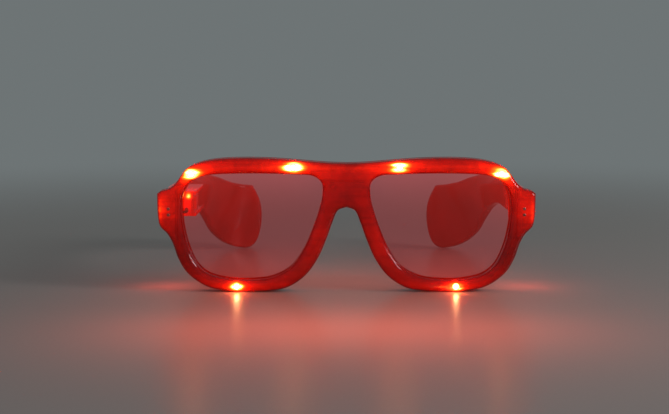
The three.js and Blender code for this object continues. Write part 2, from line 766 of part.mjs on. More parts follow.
// The spring contact: a plate with a tapering coil that pushes the cells together
function springContact() {
  const front = box_start + box_wall + cover_fit;
  const coil = [];
  const steps = spring_turns * 12;
  const start = front + contact_thickness;
  const end = cells_start - cell_gap - spring_wire / 2;
  for (let i = 0; i <= steps; i += 1) {
    const share = i / steps;
    const turn = share * spring_turns * 2 * Math.PI;
    const radius = THREE.MathUtils.lerp(cell_diameter, cell_diameter / 2, share) / 2 - 2 * spring_wire;
    coil.push([
      cell_x + radius * Math.cos(turn),
      THREE.MathUtils.lerp(start, end, share),
      temple_centre_height + radius * Math.sin(turn),
    ]);
  }
  return contactPlate(front).add(solid(tube(coil, spring_wire, steps, 5)));
}

function flasherBoard() {
  return block(
    [board_x, board_start, cover_bottom + box_wall + board_margin],
    [board_x + board_thickness, board_end, cover_top - box_wall - board_margin],
  );
}

function flasherChip() {
  const radius = chip_diameter / 2;
  const shoulder = [radius * Math.SQRT1_2, chip_height * Math.SQRT1_2];
  const profile = [[0, 0], [radius, 0], shoulder, [0, chip_height]];
  const dome = new THREE.LatheGeometry(profile.map(([r, y]) => new THREE.Vector2(r, y)), 14);
  dome.rotateZ(Math.PI / 2);
  dome.translate(board_x - cover_fit, button_y, temple_centre_height);
  return solid(dome);
}

function switchBody() {
  const x = board_x + board_thickness + cover_fit;
  const half = switch_width / 2;
  const body = block(
    [x, button_y - half, temple_centre_height - half],
    [x + switch_height, button_y + half, temple_centre_height + half],
  );
  const place = [button_y, temple_centre_height];
  const plunger_end = x + switch_height + plunger_height;
  return body.add(bar("x", x + switch_height / 2, plunger_end, place, plunger_diameter, 12));
}

function pushButton() {
  const flange_outer = temple_inner + channel_depth - button_clearance;
  const flange_inner = flange_outer - button_flange;
  const place = [button_y, temple_centre_height];
  const flange = bar("x", flange_inner, flange_outer, place, button_diameter + 2 * button_flange_overlap, 24);
  return flange.add(bar("x", flange_inner, temple_outer + button_proud, place, button_diameter, 24));
}

// Wires inside the powered temple and the lead that crosses its hinge, on routes chosen by hand

function leadPoints() {
  const beside = hinge_x - knuckle_radius - lead_side_gap - lead_diameter / 2;
  return [
    [hinge_x, cover_front + seam, lead_height],
    [hinge_x, cover_back, lead_height],
    [hinge_x - 1.2 * lead_diameter, cover_back + 1.5 * lead_diameter, lead_height],
    [beside + 0.3 * lead_diameter, hinge_setback - knuckle_radius + lead_diameter / 2, lead_height],
    [beside, hinge_setback + lead_diameter, lead_height],
    [beside + lead_diameter / 4, temple_start, lead_entry[1]],
    [lead_entry[0], box_start - lead_diameter / 2, lead_entry[1]],
    [lead_entry[0], box_start + box_wall - cover_fit, lead_entry[1]],
  ];
}

function shortLead() {
  const x = temple_inner + cover_thickness + wire_diameter;
  const z = temple_centre_height - switch_width / 2 - wire_diameter;
  const down = board_x + board_thickness + cover_fit;
  return [
    [x, cells_end + contact_thickness + cover_fit, z],
    [x, board_start, z],
    [x - wire_diameter, board_start + wire_diameter, z],
    [down + wire_diameter, board_start + wire_diameter, z],
    [down, board_start + wire_diameter, z],
  ];
}

function longLead() {
  const x = temple_inner + channel_depth - wire_diameter;
  const z = temple_bottom + temple_wall + wire_diameter;
  const down = board_x + board_thickness + cover_fit;
  const inside = cover_bottom + box_wall + 2 * board_margin + wire_diameter;
  return [
    [x, box_start + box_wall + cover_fit, z],
    [x, board_start, z],
    [x, board_start + wire_diameter, z + wire_diameter / 2],
    [x - 2 * wire_diameter, board_start + 3 * wire_diameter, inside],
    [down, board_start + 3.5 * wire_diameter, inside],
  ];
}

// Assembly

const glasses = new THREE.Group();

function add(name, body, material, side = 1) {
  const geometry = body.isBufferGeometry ? body : geometryOf(body);
  const mesh = new THREE.Mesh(side > 0 ? geometry : mirrored(geometry), material);
  mesh.name = name;
  glasses.add(mesh);
}

add("front_shell", frontShell(), red_plastic);
add("rear_cover", rearCover(), dark_plastic);
add("wire_inner", rimWire(wire_middle - wire_pitch / 2), red_wire);
add("wire_outer", rimWire(wire_middle + wire_pitch / 2), black_wire);

for (const [word, side] of [["left", -1], ["right", 1]]) {
  add(`lens_${word}`, lens(side), lens_plastic);
  for (const lamp of lamps) add(`lamp_${lamp.name}_${word}`, lampBody(lamp), lamp_plastic, side);
  const [upper, lower] = rivets();
  add(`rivet_upper_${word}`, upper, steel, side);
  add(`rivet_lower_${word}`, lower, steel, side);
  add(`bridge_screw_${word}`, bridgeScrew(), steel, side);
  add(`hinge_screw_${word}`, hingeScrew(), steel, side);
  add(`temple_shell_${word}`, templeShell(side < 0), red_plastic, side);
}

add("temple_cover_right", coverPlate(), dark_plastic);
add("battery_cover", batteryCover(), dark_plastic, -1);
add("battery_door", batteryDoor(), dark_plastic, -1);
for (let i = 0; i < cell_count; i += 1) add(`cell_${i + 1}`, cell(i), cell_steel, -1);
add("spring_contact", springContact(), steel, -1);
add("plate_contact", contactPlate(cells_end), steel, -1);
add("flasher_board", flasherBoard(), board_green, -1);
add("flasher_chip", flasherChip(), black_resin, -1);
add("switch_body", switchBody(), white_plastic, -1);
add("push_button", pushButton(), dark_plastic, -1);
add("battery_lead_short", tube(shortLead(), wire_diameter * lead_share, 14), red_wire, -1);
add("battery_lead_long", tube(longLead(), wire_diameter * lead_share, 24), black_wire, -1);
add("hinge_lead", tube(leadPoints(), lead_diameter, 24, 8), black_wire, -1);

const extent = new THREE.Box3().setFromObject(glasses);
glasses.position.y = -(extent.min.y + extent.max.y) / 2;

export default glasses;
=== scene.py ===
import json
import math

import bmesh
import bpy
from mathutils import Matrix, Vector


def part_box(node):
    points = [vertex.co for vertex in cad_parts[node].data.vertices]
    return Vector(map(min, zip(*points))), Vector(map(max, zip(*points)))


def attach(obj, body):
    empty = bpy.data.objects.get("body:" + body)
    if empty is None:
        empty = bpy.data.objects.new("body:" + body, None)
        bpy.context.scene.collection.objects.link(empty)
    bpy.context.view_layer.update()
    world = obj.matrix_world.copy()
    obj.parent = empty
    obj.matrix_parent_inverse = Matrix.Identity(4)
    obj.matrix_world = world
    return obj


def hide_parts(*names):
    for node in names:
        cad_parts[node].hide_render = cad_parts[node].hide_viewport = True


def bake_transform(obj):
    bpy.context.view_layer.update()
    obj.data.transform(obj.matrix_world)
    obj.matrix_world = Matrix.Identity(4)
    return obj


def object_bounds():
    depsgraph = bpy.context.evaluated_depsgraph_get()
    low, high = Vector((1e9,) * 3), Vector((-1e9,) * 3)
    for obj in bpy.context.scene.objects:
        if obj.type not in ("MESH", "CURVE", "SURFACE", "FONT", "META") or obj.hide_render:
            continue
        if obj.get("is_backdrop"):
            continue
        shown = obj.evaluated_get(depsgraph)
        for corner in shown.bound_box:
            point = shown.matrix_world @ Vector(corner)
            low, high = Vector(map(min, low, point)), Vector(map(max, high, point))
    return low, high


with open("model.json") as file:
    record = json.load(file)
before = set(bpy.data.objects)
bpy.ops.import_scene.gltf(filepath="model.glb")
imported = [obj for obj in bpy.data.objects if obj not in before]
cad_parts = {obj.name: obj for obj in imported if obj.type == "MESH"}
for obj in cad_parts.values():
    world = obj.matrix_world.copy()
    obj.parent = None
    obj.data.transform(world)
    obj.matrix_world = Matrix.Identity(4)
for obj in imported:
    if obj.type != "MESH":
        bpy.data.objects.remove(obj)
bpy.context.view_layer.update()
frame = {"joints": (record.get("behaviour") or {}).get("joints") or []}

# Camera: a long lens a little above the table, nearly square to the front of the glasses. It stands
# slightly left of their middle and looks a few degrees down.
mm = 0.001
front_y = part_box("front_shell")[0].y
view_width = 263 * mm
sensor_width = 36
camera_distance = 550 * mm
camera_height = 92 * mm
camera_tilt = math.radians(6)
camera_left = 4.7 * mm


def placed(name, data, place=(0, 0, 0)):
    """A new object in the scene."""
    made = bpy.data.objects.new(name, data)
    bpy.context.scene.collection.objects.link(made)
    made.location = place
    return made


camera_data = bpy.data.cameras.new("camera")
camera_data.sensor_width = sensor_width
camera_data.lens = sensor_width * camera_distance / view_width
camera = placed("camera", camera_data, (-camera_left, front_y - camera_distance, camera_height))
camera.rotation_euler = (math.pi / 2 - camera_tilt, 0, 0)
bpy.context.scene.camera = camera
bpy.context.scene.view_settings.view_transform = "Standard"


# Floor: a plain pale table top with a soft sheen that takes up the lamps. Far from the glasses it fades
# into the room's own grey, so that no edge shows behind them.
floor_radius = 6
fade_start, fade_end = 0.14, 0.7
floor_colour = (0.34, 0.295, 0.275)
floor_gloss = (0.27, 0.36)
room_grey = (0.155, 0.175, 0.178)


def adjust(thing, settings):
    """Sets a thing's properties by name and gives it back."""
    for key, value in settings.items():
        setattr(thing, key, value)
    return thing


def fill(made, values):
    """Fills a node's sockets with values, or links another node's output."""
    for key, value in values.items():
        socket = made.inputs[key]
        if isinstance(value, bpy.types.NodeSocket):
            made.id_data.links.new(value, socket)
        else:
            socket.default_value = (*value, 1) if socket.type == "RGBA" else value


def node(tree, kind, values=None, **settings):
    """A new shader node with its settings and its sockets filled."""
    made = adjust(tree.nodes.new(f"ShaderNode{kind}"), settings)
    fill(made, values or {})
    return made


def new_material(name, values):
    """A material with its plain values set, its tree and its Principled BSDF."""
    material = bpy.data.materials.new(name)
    material.use_nodes = True
    shader = material.node_tree.nodes["Principled BSDF"]
    fill(shader, values)
    return material, material.node_tree, shader


def own_place(tree):
    """The place on a piece, in the piece's own coordinates."""
    return node(tree, "TexCoord").outputs["Object"]


def noise(tree, scale, detail, place=None, **more):
    """Soft noise over a piece's own place, or over one drawn out from it."""
    values = {"Vector": place or own_place(tree), "Scale": scale, "Detail": detail, **more}
    return node(tree, "TexNoise", values).outputs["Fac"]


def ranged(tree, value, start=(0, 1), end=(0, 1), kind="LINEAR"):
    """A value carried over from one range to another."""
    ends = dict(zip(("Value", "From Min", "From Max", "To Min", "To Max"), (value, *start, *end)))
    return node(tree, "MapRange", ends, interpolation_type=kind).outputs["Result"]


def reckon(tree, operation, *values):
    """One step of arithmetic with numbers."""
    return node(tree, "Math", dict(enumerate(values)), operation=operation).outputs[0]


def reckon_place(tree, operation, *values):
    """One step of arithmetic with places. A length comes out as a number."""
    made = node(tree, "VectorMath", dict(enumerate(values)), operation=operation)
    return made.outputs["Value" if operation in ("LENGTH", "DISTANCE") else "Vector"]


def pick(*pieces):
    """Selects these pieces alone, the last one active."""
    bpy.ops.object.select_all(action="DESELECT")
    for piece in pieces:
        piece.select_set(True)
        bpy.context.view_layer.objects.active = piece


def begun(name, add, **sizes):
    """A piece begun as one of Blender's own shapes."""
    pick()
    add(**sizes)
    return adjust(bpy.context.object, {"name": name})


floor = begun("floor", bpy.ops.mesh.primitive_circle_add, vertices=96, radius=floor_radius, fill_type="NGON")
floor_paint, tree, shader = new_material("table_top", {"Base Color": floor_colour, "Specular IOR Level": 0.3})
away = reckon_place(tree, "LENGTH", own_place(tree))
fade = ranged(tree, away, (fade_start, fade_end), kind="SMOOTHSTEP")
room_light = node(tree, "Emission", {"Color": room_grey})
both = node(tree, "MixShader", {0: fade, 1: shader.outputs[0], 2: room_light.outputs[0]})
fill(shader, {"Roughness": ranged(tree, noise(tree, 900, 3), end=floor_gloss)})
fill(tree.nodes["Material Output"], {"Surface": both.outputs[0]})
floor.data.materials.append(floor_paint)
floor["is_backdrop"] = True

world = bpy.data.worlds.new("room")
world.use_nodes = True
fill(world.node_tree.nodes["Background"], {"Color": room_grey, "Strength": 1})
bpy.context.scene.world = world


# Studio light: one soft lamp in front on the right, just above the camera, and a weaker and much wider
# one overhead. The room itself adds an even grey light.
def light_at(name, kind, place, power, **settings):
    """A lamp of a kind at its place."""
    data = bpy.data.lights.new(name, kind)
    return placed(name, adjust(data, {"energy": power, **settings}), place)


for name, place, aim, size, power in (
    ("front_right", (0.6, -0.32, 0.34), (0.1, -0.06, 0.02), 0.24, 1.5),
    ("overhead", (0.1, 0.3, 1.1), (0, 0, 0), 1.7, 0.5),
):
    lamp = light_at(name, "AREA", place, power, shape="DISK", size=size)
    lamp.rotation_euler = (Vector(aim) - Vector(place)).to_track_quat("-Z", "Y").to_euler()


# Front shell: one injection moulding in clear red plastic, an open-backed channel 6 mm deep with a round
# nose, whose rim runs round both lenses. It has a post for each bridge screw and a hole for each lamp
# and rivet, and a shallow groove sets off the stepped lug at each end.
shell_depth = 6 * mm
shell_rounding = 1.9 * mm
wall = 0.8 * mm
face_wall = 1.6 * mm
lamp_radius = 1.3 * mm
lamp_clearance = 0.15 * mm
flange_radius = 1.55 * mm
bridge_spread = 5.5 * mm
bridge_height = 42 * mm
post_radius = 1.7 * mm
bridge_bore = 0.95 * mm
rivet_hole = 0.5 * mm
groove_radius = 0.55 * mm
groove_depth = 0.3 * mm
lug_groove_x = 67.2 * mm
lug_groove_low, lug_groove_high = 21 * mm, 43 * mm
bridge_groove_z = 44.2 * mm
bridge_groove_x = 7 * mm
hot_radius = 2 * mm
merge_reach = 1e-6
line_steps = 6
half_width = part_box("front_shell")[1].x
full_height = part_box("front_shell")[1].z

# Outlines of the right half as shares of half the width and of the height
brow = [
    (0, 0.961), (0.093, 0.965), (0.215, 0.978), (0.385, 0.996), (0.58, 1), (0.71, 0.987), (0.787, 0.961),
    (0.839, 0.925), (0.871, 0.873), (0.9, 0.815), (0.935, 0.775), (0.98, 0.757),
]
cheek = [
    (1, 0.735), (1, 0.66), (0.996, 0.55), (0.985, 0.49), (0.948, 0.435), (0.92, 0.365), (0.893, 0.255),
    (0.845, 0.143), (0.745, 0.042), (0.63, 0.004),
]
foot = [(0.6, 0), (0.5, 0)]
nose = [
    (0.43, 0.004), (0.319, 0.03), (0.223, 0.115), (0.155, 0.241), (0.105, 0.398), (0.073, 0.523),
    (0.044, 0.61), (0, 0.634),
]
opening = [
    (0.869, 0.66), (0.865, 0.514), (0.836, 0.336), (0.789, 0.202), (0.729, 0.133), (0.617, 0.094),
    (0.511, 0.09), (0.396, 0.11), (0.296, 0.184), (0.228, 0.314), (0.179, 0.469), (0.145, 0.609),
    (0.127, 0.72), (0.131, 0.815), (0.176, 0.864), (0.267, 0.876), (0.6, 0.882), (0.755, 0.864),
    (0.822, 0.82), (0.857, 0.745),
]


def smooth_line(points, each, closed=False):
    """A smooth line through points without overshoot, with so many steps for each stretch."""
    points = [Vector(p) for p in points]
    if closed:
        points = [points[-1], *points, points[0], points[1]]
    else:
        points = [2 * points[0] - points[1], *points, 2 * points[-1] - points[-2]]
    line = []
    for a, b, c, d in zip(points, points[1:], points[2:], points[3:]):
        ab, bc, cd = (max((q - p).length, 1e-6) ** 0.5 for p, q in ((a, b), (b, c), (c, d)))
        start = ((b - a) / ab - (c - a) / (ab + bc) + (c - b) / bc) * bc
        end = ((c - b) / bc - (d - b) / (bc + cd) + (d - c) / cd) * bc
        for i in range(each):
            t = i / each
            line.append(b * (2 * t**3 - 3 * t**2 + 1) + start * (t**3 - 2 * t**2 + t)
                        + c * (3 * t**2 - 2 * t**3) + end * (t**3 - t**2))
    return line if closed else [*line, points[-2]]


def sized(shares):
    """Shares of the front's size as places in metres."""
    return [Vector((across * half_width, up * full_height)) for across, up in shares]


def flipped(line):
    """The same line on the left half, run the other way."""
    return [Vector((-p[0], p[1])) for p in reversed(line)]


right_edge = [
    *smooth_line(sized(brow), line_steps), *smooth_line(sized(cheek), line_steps), *sized(foot),
    *smooth_line(sized(nose), line_steps),
]
outline = [*right_edge, *flipped(right_edge[1:-1])]
right_opening = smooth_line(sized(opening), line_steps, closed=True)
openings = [flipped(right_opening), right_opening]


def line_mesh(name, lines, bevel, steps, turn=Matrix(), closed=False, **settings):
    """A piece made along lines of points, its doubles merged and its faces pointing outwards."""
    data = adjust(bpy.data.curves.new(name, "CURVE"), settings)
    data.bevel_depth, data.bevel_resolution = bevel, steps
    for line in lines:
        spline = data.splines.new("POLY")
        spline.points.add(len(line) - 1)
        spline.use_cyclic_u = closed
        for point, place in zip(spline.points, line):
            point.co = (*Vector(place).to_3d(), 1)
    pick(placed(name, data))
    bpy.ops.object.convert(target="MESH")
    made = adjust(bpy.context.object, {"name": name})
    made.data.transform(turn)
    mesh = bmesh.new()
    mesh.from_mesh(made.data)
    bmesh.ops.remove_doubles(mesh, verts=mesh.verts, dist=merge_reach)
    bmesh.ops.recalc_face_normals(mesh, faces=mesh.faces)
    mesh.to_mesh(made.data)
    mesh.free()
    return made


def plate(name, loops, front, back, rounding=0.0, steps=4, grown=0.0):
    """A flat piece between two depths, cut to its loops, with rounded edges. Growth moves the outer edge
    outwards and the edges of the holes inwards."""
    turn = Matrix.Translation(at(0, (front + back) / 2, 0)) @ Matrix.Rotation(math.pi / 2, 4, "X")
    return line_mesh(name, loops, rounding, steps, turn, True, dimensions="2D", fill_mode="BOTH",
                     extrude=(back - front) / 2 - rounding, offset=grown - rounding)


def change_shape(piece, kind, **settings):
    """Adds a modifier to the piece and applies it."""
    change = adjust(piece.modifiers.new("change", kind), settings)
    bpy.context.view_layer.objects.active = piece
    bpy.ops.object.modifier_apply(modifier=change.name)


def cut(piece, *others, operation="DIFFERENCE"):
    """Cuts the other pieces away from this one and removes them."""
    for other in others:
        change_shape(piece, "BOOLEAN", operation=operation, solver="EXACT", object=other)
        bpy.data.objects.remove(other)


def join(piece, *others):
    """Fuses the other pieces with this one and removes them."""
    cut(piece, *others, operation="UNION")


def softened(piece, width, steps=3, degrees=40):
    """Rounds every edge sharper than the angle."""
    change_shape(piece, "BEVEL", width=width, segments=steps, limit_method="ANGLE",
                 angle_limit=math.radians(degrees))
    return piece


def at(x, depth, z):
    """A place, its depth counted from the front face."""
    return Vector((x, front_y + depth, z))


def rod(name, a, b, radius, sides=48):
    """A round bar between two points."""
    a, b = Vector(a), Vector(b)
    made = begun(name, bpy.ops.mesh.primitive_cylinder_add, vertices=sides, radius=radius,
                 depth=(b - a).length)
    turn = (b - a).to_track_quat("Z", "Y").to_matrix().to_4x4()
    made.data.transform(Matrix.Translation((a + b) / 2) @ turn)
    return made


def bar(name, x, z, start, end, radius):
    """A round bar from one depth to another."""
    return rod(name, at(x, start, z), at(x, end, z), radius)


def worked(step, **settings):
    """One step of edit mode on the whole of the active piece."""
    bpy.ops.object.mode_set(mode="EDIT")
    bpy.ops.mesh.select_all(action="SELECT")
    step(**settings)
    bpy.ops.object.mode_set(mode="OBJECT")


def brick(name, a, b, rounding=0.0, steps=3):
    """A block between two corners, with its edges rounded if asked."""
    a, b = Vector(a), Vector(b)
    size = [abs(q - p) for p, q in zip(a, b)]
    made = begun(name, bpy.ops.mesh.primitive_cube_add, size=1)
    made.data.transform(Matrix.Translation((a + b) / 2) @ Matrix.Diagonal((*size, 1)))
    if rounding:
        worked(bpy.ops.mesh.bevel, offset=rounding, segments=steps, affect="EDGES")
    return made


def painted(piece, *materials):
    """Gives a piece these materials and no others."""
    piece.data.materials.clear()
    for material in materials:
        piece.data.materials.append(material)
    return piece


def finished(piece, material, body, slot, *nodes, smooth=35):
    """The last steps of each piece: shading, smooth up to an angle, its material, the body that it rides
    on and the nodes that it stands for. The slot is not used."""
    pick(piece)
    bpy.ops.object.shade_smooth_by_angle(angle=math.radians(smooth))
    change_shape(piece, "WEIGHTED_NORMAL", keep_sharp=True)
    if material:
        painted(piece, material)
    if body:
        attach(piece, body)
    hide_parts(*nodes)


def middle_of(name):
    """The middle of a solid's box."""
    low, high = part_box(name)
    return (low + high) / 2


middles = [middle_of(f"lamp_{name}_right") for name in ("outer", "inner", "bottom")]
lamp_places = [at(middle.x, 0, middle.z) for middle in middles]
outer_lamp, inner_lamp, bottom_lamp = lamp_places
shell = plate("front_frame", [outline, *openings], 0, shell_depth, shell_rounding, 6)
cut(shell, plate("channel", [outline, *openings], face_wall, shell_depth + 2 * mm, grown=-wall))
groove_middle = groove_depth - groove_radius
for side in (-1, 1):
    x, z = side * bridge_spread, bridge_height
    join(shell, bar("post", x, z, face_wall / 2, shell_depth, post_radius))
    cut(shell, bar("pilot", x, z, face_wall, shell_depth + mm, bridge_bore))
    for lamp in lamp_places:
        x = side * lamp.x
        cut(shell, bar("hole", x, lamp.z, -mm, face_wall + mm, lamp_radius + lamp_clearance),
            bar("seat", x, lamp.z, face_wall, shell_depth + mm, flange_radius))
    for name in ("upper", "lower"):
        rivet = middle_of(f"rivet_{name}_right")
        cut(shell, bar("hole", side * rivet.x, rivet.z, -mm, 2 * mm, rivet_hole))
    x = side * lug_groove_x
    cut(shell, rod("groove", at(x, groove_middle, lug_groove_low), at(x, groove_middle, lug_groove_high),
                   groove_radius))
y, z = groove_middle - groove_depth / 2, bridge_groove_z
cut(shell, rod("groove", at(-bridge_groove_x, y, z), at(bridge_groove_x, y, z), groove_radius))

# Where the lamps' light is painted into the plastic: the place, the strength of its hot spot and of its long
# fade, and how much both are squeezed along each axis. The spots by the lug and the nose side are painted
# glow, the line down each lug's outer edge is a painted highlight, and the spot on the battery box is a
# painted glint.
lug = at(0.975 * half_width, 0, 0.62 * full_height)
lug_edge_highlight = at(0.985 * half_width, 0, 0.59 * full_height)
nose_side = at(0.17 * half_width, 0, 0.45 * full_height)
box_glint_spot = at(0.858 * half_width, 19.7 * mm, 0.685 * full_height)
glow_spots = [
    (outer_lamp, 1, 0.4, (0.55, 0.6, 1)), (inner_lamp, 1, 0.33, (0.55, 0.6, 1)),
    (inner_lamp, 0, 0.05, (0.06, 0.3, 2.6)), (bottom_lamp, 1, 0.15, (0.7, 0.6, 1)),
    (bottom_lamp, 0, 0.02, (0.12, 0.3, 2.4)), (lug, 0.02, 0.17, (1, 0.6, 1)),
    (nose_side, 0, 0.03, (0.8, 0.6, 0.4)), (lug_edge_highlight, 0.2, 0, (2.6, 0.2, 0.4)),
    (box_glint_spot, 0.65, 0, (1.4, 1, 1.4)),
]
glow_colours = [
    (0, (0.002, 0, 0)), (0.015, (0.016, 0.0001, 0)), (0.05, (0.032, 0.0004, 0)), (0.14, (0.07, 0.0012, 0)),
    (0.3, (0.14, 0.005, 0.0003)), (0.52, (0.26, 0.045, 0.002)), (0.68, (0.45, 0.17, 0.015)),
    (0.85, (0.8, 0.5, 0.12)), (1, (1, 0.8, 0.4)),
]


def new_group(name, takes, gives=("Base Color", "Roughness", "Normal")):
    """An empty group of shader nodes, its inputs, and the node that its outputs go to. Colours and
    directions are known by their names, and all others are numbers."""
    group = bpy.data.node_groups.new(name, "ShaderNodeTree")
    for keys, direction in ((takes, "INPUT"), (gives, "OUTPUT")):
        for key in keys:
            kind = "Color" if "Colo" in key else "Vector" if key in ("Normal", "Across") else "Float"
            group.interface.new_socket(key, in_out=direction, socket_type=f"NodeSocket{kind}")
    return group, group.nodes.new("NodeGroupInput").outputs, group.nodes.new("NodeGroupOutput")


def mixed(tree, share, a, b):
    """A colour between two others."""
    return node(tree, "Mix", {"Factor": share, "A": a, "B": b}, data_type="RGBA").outputs["Result"]


def ramped(tree, value, stops):
    """A colour picked by a value from a row of stops."""
    ramp = node(tree, "ValToRGB", {0: value})
    elements = ramp.color_ramp.elements
    for element, (position, colour) in zip(elements, (stops[0], stops[-1])):
        element.position, element.color = position, (*colour, 1)
    for position, colour in stops[1:-1]:
        elements.new(position).color = (*colour, 1)
    return ramp.outputs["Color"]


def bumped(tree, height, depth, strength, **more):
    """A relief that follows a value."""
    values = {"Height": height, "Distance": depth, "Strength": strength, **more}
    return node(tree, "Bump", values).outputs["Normal"]


def both_sides(tree, place):
    """A place with its left half folded over on the right, taken apart."""
    parts = node(tree, "SeparateXYZ", {0: place}).outputs
    return {"X": reckon(tree, "ABSOLUTE", parts["X"]), "Y": parts["Y"], "Z": parts["Z"]}


# The lamps' light painted into the plastic as glow: a painted hot spot at each lamp and a long red fade along
# the rim. Fine streaks and blotches in the glow stand in for light caught in the moulded walls, and the sides
# are painted darker than the face.
tree, given, result = new_group("lamp_glow", ("Reach", "Least", "Sides"), ("Colour", "Amount"))
surface = node(tree, "TexCoord").outputs
right_place = node(tree, "CombineXYZ", both_sides(tree, surface["Object"])).outputs[0]
total = given["Least"]
for spot, hot, far, squeeze in glow_spots:
    away = reckon_place(tree, "SUBTRACT", right_place, spot)
    length = reckon_place(tree, "LENGTH", reckon_place(tree, "MULTIPLY", away, squeeze))
    near = reckon(tree, "POWER", reckon(tree, "DIVIDE", length, hot_radius), 2)
    wide = reckon(tree, "DIVIDE", length, given["Reach"])
    for distance, strength in ((near, hot), (wide, far)):
        fade = reckon(tree, "POWER", 1 / math.e, distance)
        total = reckon(tree, "MULTIPLY_ADD", fade, strength, total)
along_rim = reckon_place(tree, "MULTIPLY", surface["Object"], (45, 200, 700))
streaks = ranged(tree, noise(tree, 1, 2, along_rim), (0.3, 0.7), (0.6, 1.3))
colour = ramped(tree, reckon(tree, "MULTIPLY", total, streaks), glow_colours)
facing = reckon(tree, "ABSOLUTE", node(tree, "SeparateXYZ", {0: surface["Normal"]}).outputs["Y"])
shown = ranged(tree, reckon(tree, "POWER", facing, 5), end=(given["Sides"], 1))
blotches = ranged(tree, noise(tree, 230, 4, Roughness=0.6, Distortion=0.8), (0.3, 0.7), (0.6, 1.35))
spread = reckon(tree, "MULTIPLY", shown, blotches)
dimmed = node(tree, "VectorMath", {0: colour, "Scale": spread}, operation="SCALE")
fill(result, {"Colour": dimmed.outputs[0], "Amount": total})
lamp_glow = tree

# Moulded clear plastic: slow flow marks in the colour, a faint haze, and waves that bend the gloss
tree, given, result = new_group("moulded_plastic", ("Colour", "Deep Colour", "Gloss", "Waves", "Grain"))
flow = ranged(tree, noise(tree, 70, 3), (0.35, 0.65))
haze = ranged(tree, noise(tree, 260, 5, Roughness=0.6), (0.45, 0.8))
waves = bumped(tree, noise(tree, 160, 1), 0.4 * mm, given["Waves"])
fill(result, {
    "Base Color": mixed(tree, flow, given["Colour"], given["Deep Colour"]),
    "Roughness": reckon(tree, "MULTIPLY_ADD", haze, 0.08, given["Gloss"]),
    "Normal": bumped(tree, noise(tree, 3200, 2), 0.06 * mm, given["Grain"], Normal=waves),
})
moulded_plastic = tree


def covered(name, group, given, plain):
    """A material with plain values, its colour, gloss and relief from a group fed in its own order."""
    material, tree, shader = new_material(name, plain)
    made = node(tree, "Group", dict(enumerate(given)), node_tree=group)
    fill(shader, {socket.name: socket for socket in made.outputs})
    return material


def plastic(name, colour, deep, gloss, clear=0, glow=0, shine=0.5, waves=0.12, grain=0, reach=0, least=0,
            sides=0.1):
    """A moulded plastic, and if it has a reach, one that carries the lamps' light."""
    material = covered(name, moulded_plastic, (colour, deep, gloss, waves, grain), {
        "IOR": 1.49, "Transmission Weight": clear, "Emission Strength": glow, "Specular IOR Level": shine,
    })
    if reach:
        tree = material.node_tree
        light = node(tree, "Group", {"Reach": reach, "Least": least, "Sides": sides}, node_tree=lamp_glow)
        fill(tree.nodes["Principled BSDF"], {"Emission Color": light.outputs["Colour"]})
    return material


shell_red = plastic("shell_red", (0.7, 0.01, 0.003), (0.5, 0.004, 0.0015), 0.06, clear=0.8, glow=6,
                    shine=0.22, waves=0.35, reach=4 * mm, least=0.004)
finished(shell, shell_red, "front", "frame_red", "front_shell")


# Rear cover: a second moulding in the same red, glued round the channel's edge. It holds the lenses in a
# rebate and carries, on its back, the hinge ears, the cheeks that cover them and the two nose pads.
cover_front = 6.2 * mm
cover_back = 8.2 * mm
cover_rounding = 0.35 * mm
rebate_depth = 1.2 * mm
rebate_overlap = 0.9 * mm
hinge_place = Vector(next(j["pos_m"] for j in frame["joints"] if j["name"] == "temple_right_fold"))
knuckle_radius = 2.6 * mm
ear_bottoms = (24 * mm, 36 * mm)
ear_height = 4 * mm
ear_rounding = 0.4 * mm
cheek_thickness = 2.6 * mm
cheek_low, cheek_high = 29 * mm, 39.2 * mm
cheek_back = 17 * mm
cheek_rounding = 0.6 * mm
pad_size = (4.4 * mm, 8 * mm, 15 * mm)
pad_middle = (12.1 * mm, 20 * mm)
pad_tilt = math.radians(18)
bite = 1 * mm
screw_bore = 2.4 * mm
lead_hole = 1.8 * mm
lead_height = 31 * mm
cover_bore = 1.9 * mm
cover_sink = 3.3 * mm

cover = plate("back_cover", [outline, *openings], cover_front, cover_back, cover_rounding, 3)
seat_y = front_y + cover_back - bite
for side in (-1, 1):
    x, y = side * hinge_place.x, hinge_place.y
    for bottom in ear_bottoms:
        top = bottom + ear_height
        ear = rod("ear", (x, y, bottom), (x, y, top), knuckle_radius)
        join(ear, brick("arm", (x - knuckle_radius, seat_y, bottom), (x + knuckle_radius, y, top)))
        join(cover, softened(ear, ear_rounding))
    join(cover, brick("cheek", (side * (half_width - cheek_thickness), seat_y, cheek_low),
                      at(side * half_width, cheek_back, cheek_high), cheek_rounding))
    pad = begun("pad", bpy.ops.mesh.primitive_uv_sphere_add, segments=40, ring_count=24, radius=0.5)
    place = Matrix.Translation(at(side * pad_middle[0], cover_back, pad_middle[1]))
    pad.data.transform(place @ Matrix.Rotation(-side * pad_tilt, 4, "Y") @ Matrix.Diagonal((*pad_size, 1)))
    room = 2 * pad_size[2]
    cut(pad, brick("front_half", at(-room, -room, -room), (room, seat_y, 2 * room)))
    join(cover, pad)
for side in (-1, 1):
    x = side * hinge_place.x
    cut(cover, rod("bore", (x, hinge_place.y, 0), (x, hinge_place.y, full_height), screw_bore / 2))
    x = side * bridge_spread
    cut(cover, bar("bore", x, bridge_height, 0, cover_back + mm, cover_bore / 2),
        bar("sink", x, bridge_height, cover_back - mm, cover_back + mm, cover_sink / 2))
for loop in openings:
    cut(cover, plate("rebate", [loop], cover_front - mm, cover_front + rebate_depth, grown=rebate_overlap))
cut(cover, bar("lead_hole", -hinge_place.x, lead_height, 0, cover_back + mm, lead_hole / 2))
cover_red = plastic("cover_red", (0.62, 0.01, 0.004), (0.42, 0.005, 0.002), 0.12, clear=0.6, glow=1.5,
                    shine=0.4, reach=3.4 * mm)
finished(cover, cover_red, "front", "cover_red", "rear_cover")


